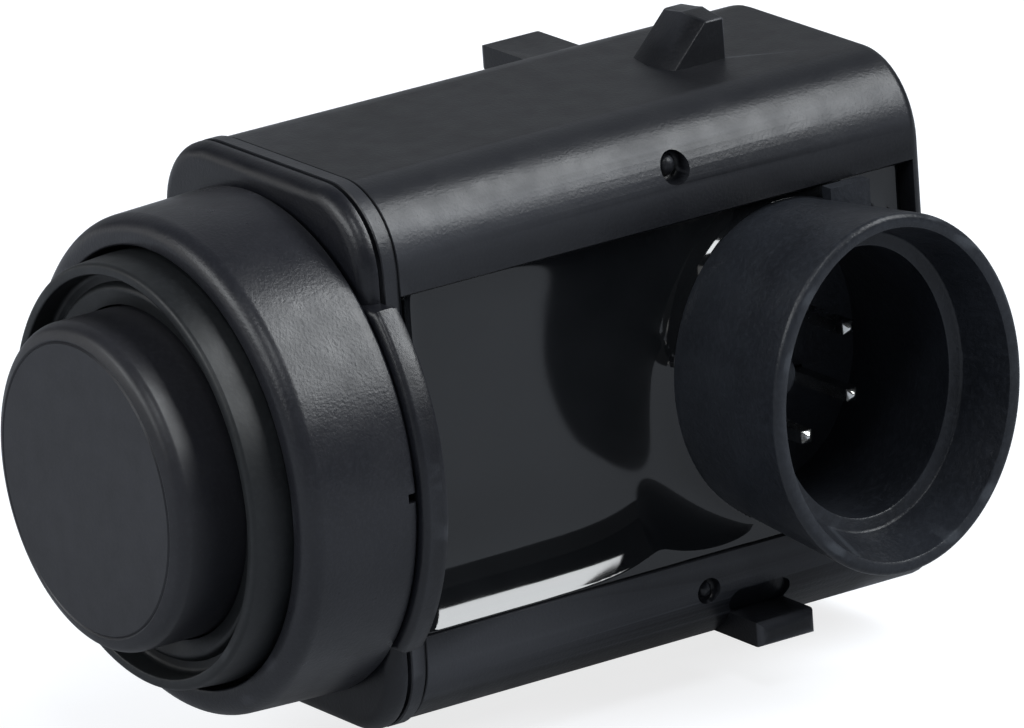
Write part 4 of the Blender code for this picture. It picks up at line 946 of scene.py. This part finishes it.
def facing(towards, distance, along):
    """A place round the sensor that faces it, its long way as near as can be to a direction."""
    away = Vector(towards).normalized()
    side = Vector(along).cross(away).normalized()
    turned_to = Matrix((side, away.cross(side), away)).transposed()
    return Matrix.Translation(view_aim + away * distance) @ turned_to.to_4x4()


def softbox(name, towards, distance, width, length, power, along):
    """An area lamp that faces the sensor."""
    lamp = bpy.data.lights.new(name, "AREA")
    lamp.shape = "RECTANGLE"
    lamp.size = width
    lamp.size_y = length
    lamp.energy = power
    lamp.color = (0.95, 0.98, 1.0)
    item = bpy.data.objects.new(name, lamp)
    item.matrix_world = facing(towards, distance, along)
    scene.collection.objects.link(item)


ACROSS = (1.0, 0.0, 0.0)
BACKWARD = (0.0, 1.0, 0.0)
UPRIGHT = (0.0, 0.0, 1.0)
softbox("key_softbox", (0.466, 0.521, 0.703), distance=0.60, width=0.20, length=0.50, power=3.8,
        along=(0.823, 0.0, -0.546))
softbox("front_softbox", (-0.14, -0.86, 0.48), distance=0.60, width=0.18, length=0.56, power=1.8,
        along=ACROSS)
softbox("top_softbox", (0.48, -0.36, 0.80), distance=0.60, width=0.10, length=0.14, power=0.70,
        along=ACROSS)
softbox("back_softbox", (-0.84, 0.50, 0.22), distance=0.90, width=0.60, length=0.60, power=2.4,
        along=UPRIGHT)


def dark_card(name, towards, distance, width, length, grey, along=UPRIGHT):
    """A dark card that faces the sensor; only the gloss sees it."""
    bm = bmesh.new()
    bmesh.ops.create_grid(bm, x_segments=1, y_segments=1, size=0.5,
                          matrix=facing(towards, distance, along)
                          @ Matrix.Diagonal((width, length, 1.0, 1.0)))
    card = placed(name, bm)
    paint, _, matt = plain_surface(name, gloss=0.0)
    matt.inputs["Base Color"].default_value = (grey, grey, grey, 1.0)
    matt.inputs["Roughness"].default_value = 0.9
    card.data.materials.append(paint)
    card.visible_camera = False
    card.visible_shadow = False
    card.visible_diffuse = False


dark_card("back_card", (-0.80, 0.52, 0.30), distance=0.40, width=0.60, length=0.34, grey=0.24)
dark_card("left_card", (-0.80, 0.25, 0.55), distance=0.75, width=1.60, length=0.80, grey=0.06)
dark_card("roof_card", (0.0, 0.10, 1.0), distance=0.80, width=1.60, length=1.60, grey=0.06,
          along=BACKWARD)
dark_card("front_card", (0.35, -0.90, 0.35), distance=1.00, width=2.00, length=0.80, grey=0.08)
dark_card("right_card", (0.90, 0.16, 0.52), distance=1.00, width=1.60, length=1.00, grey=0.08)
dark_card("rear_card", (0.20, 0.95, 0.35), distance=1.00, width=2.00, length=0.70, grey=0.08)
dark_card("low_card", (0.85, 0.45, 0.02), distance=0.17, width=0.34, length=0.045, grey=0.08)

scene.view_settings.view_transform = "Standard"
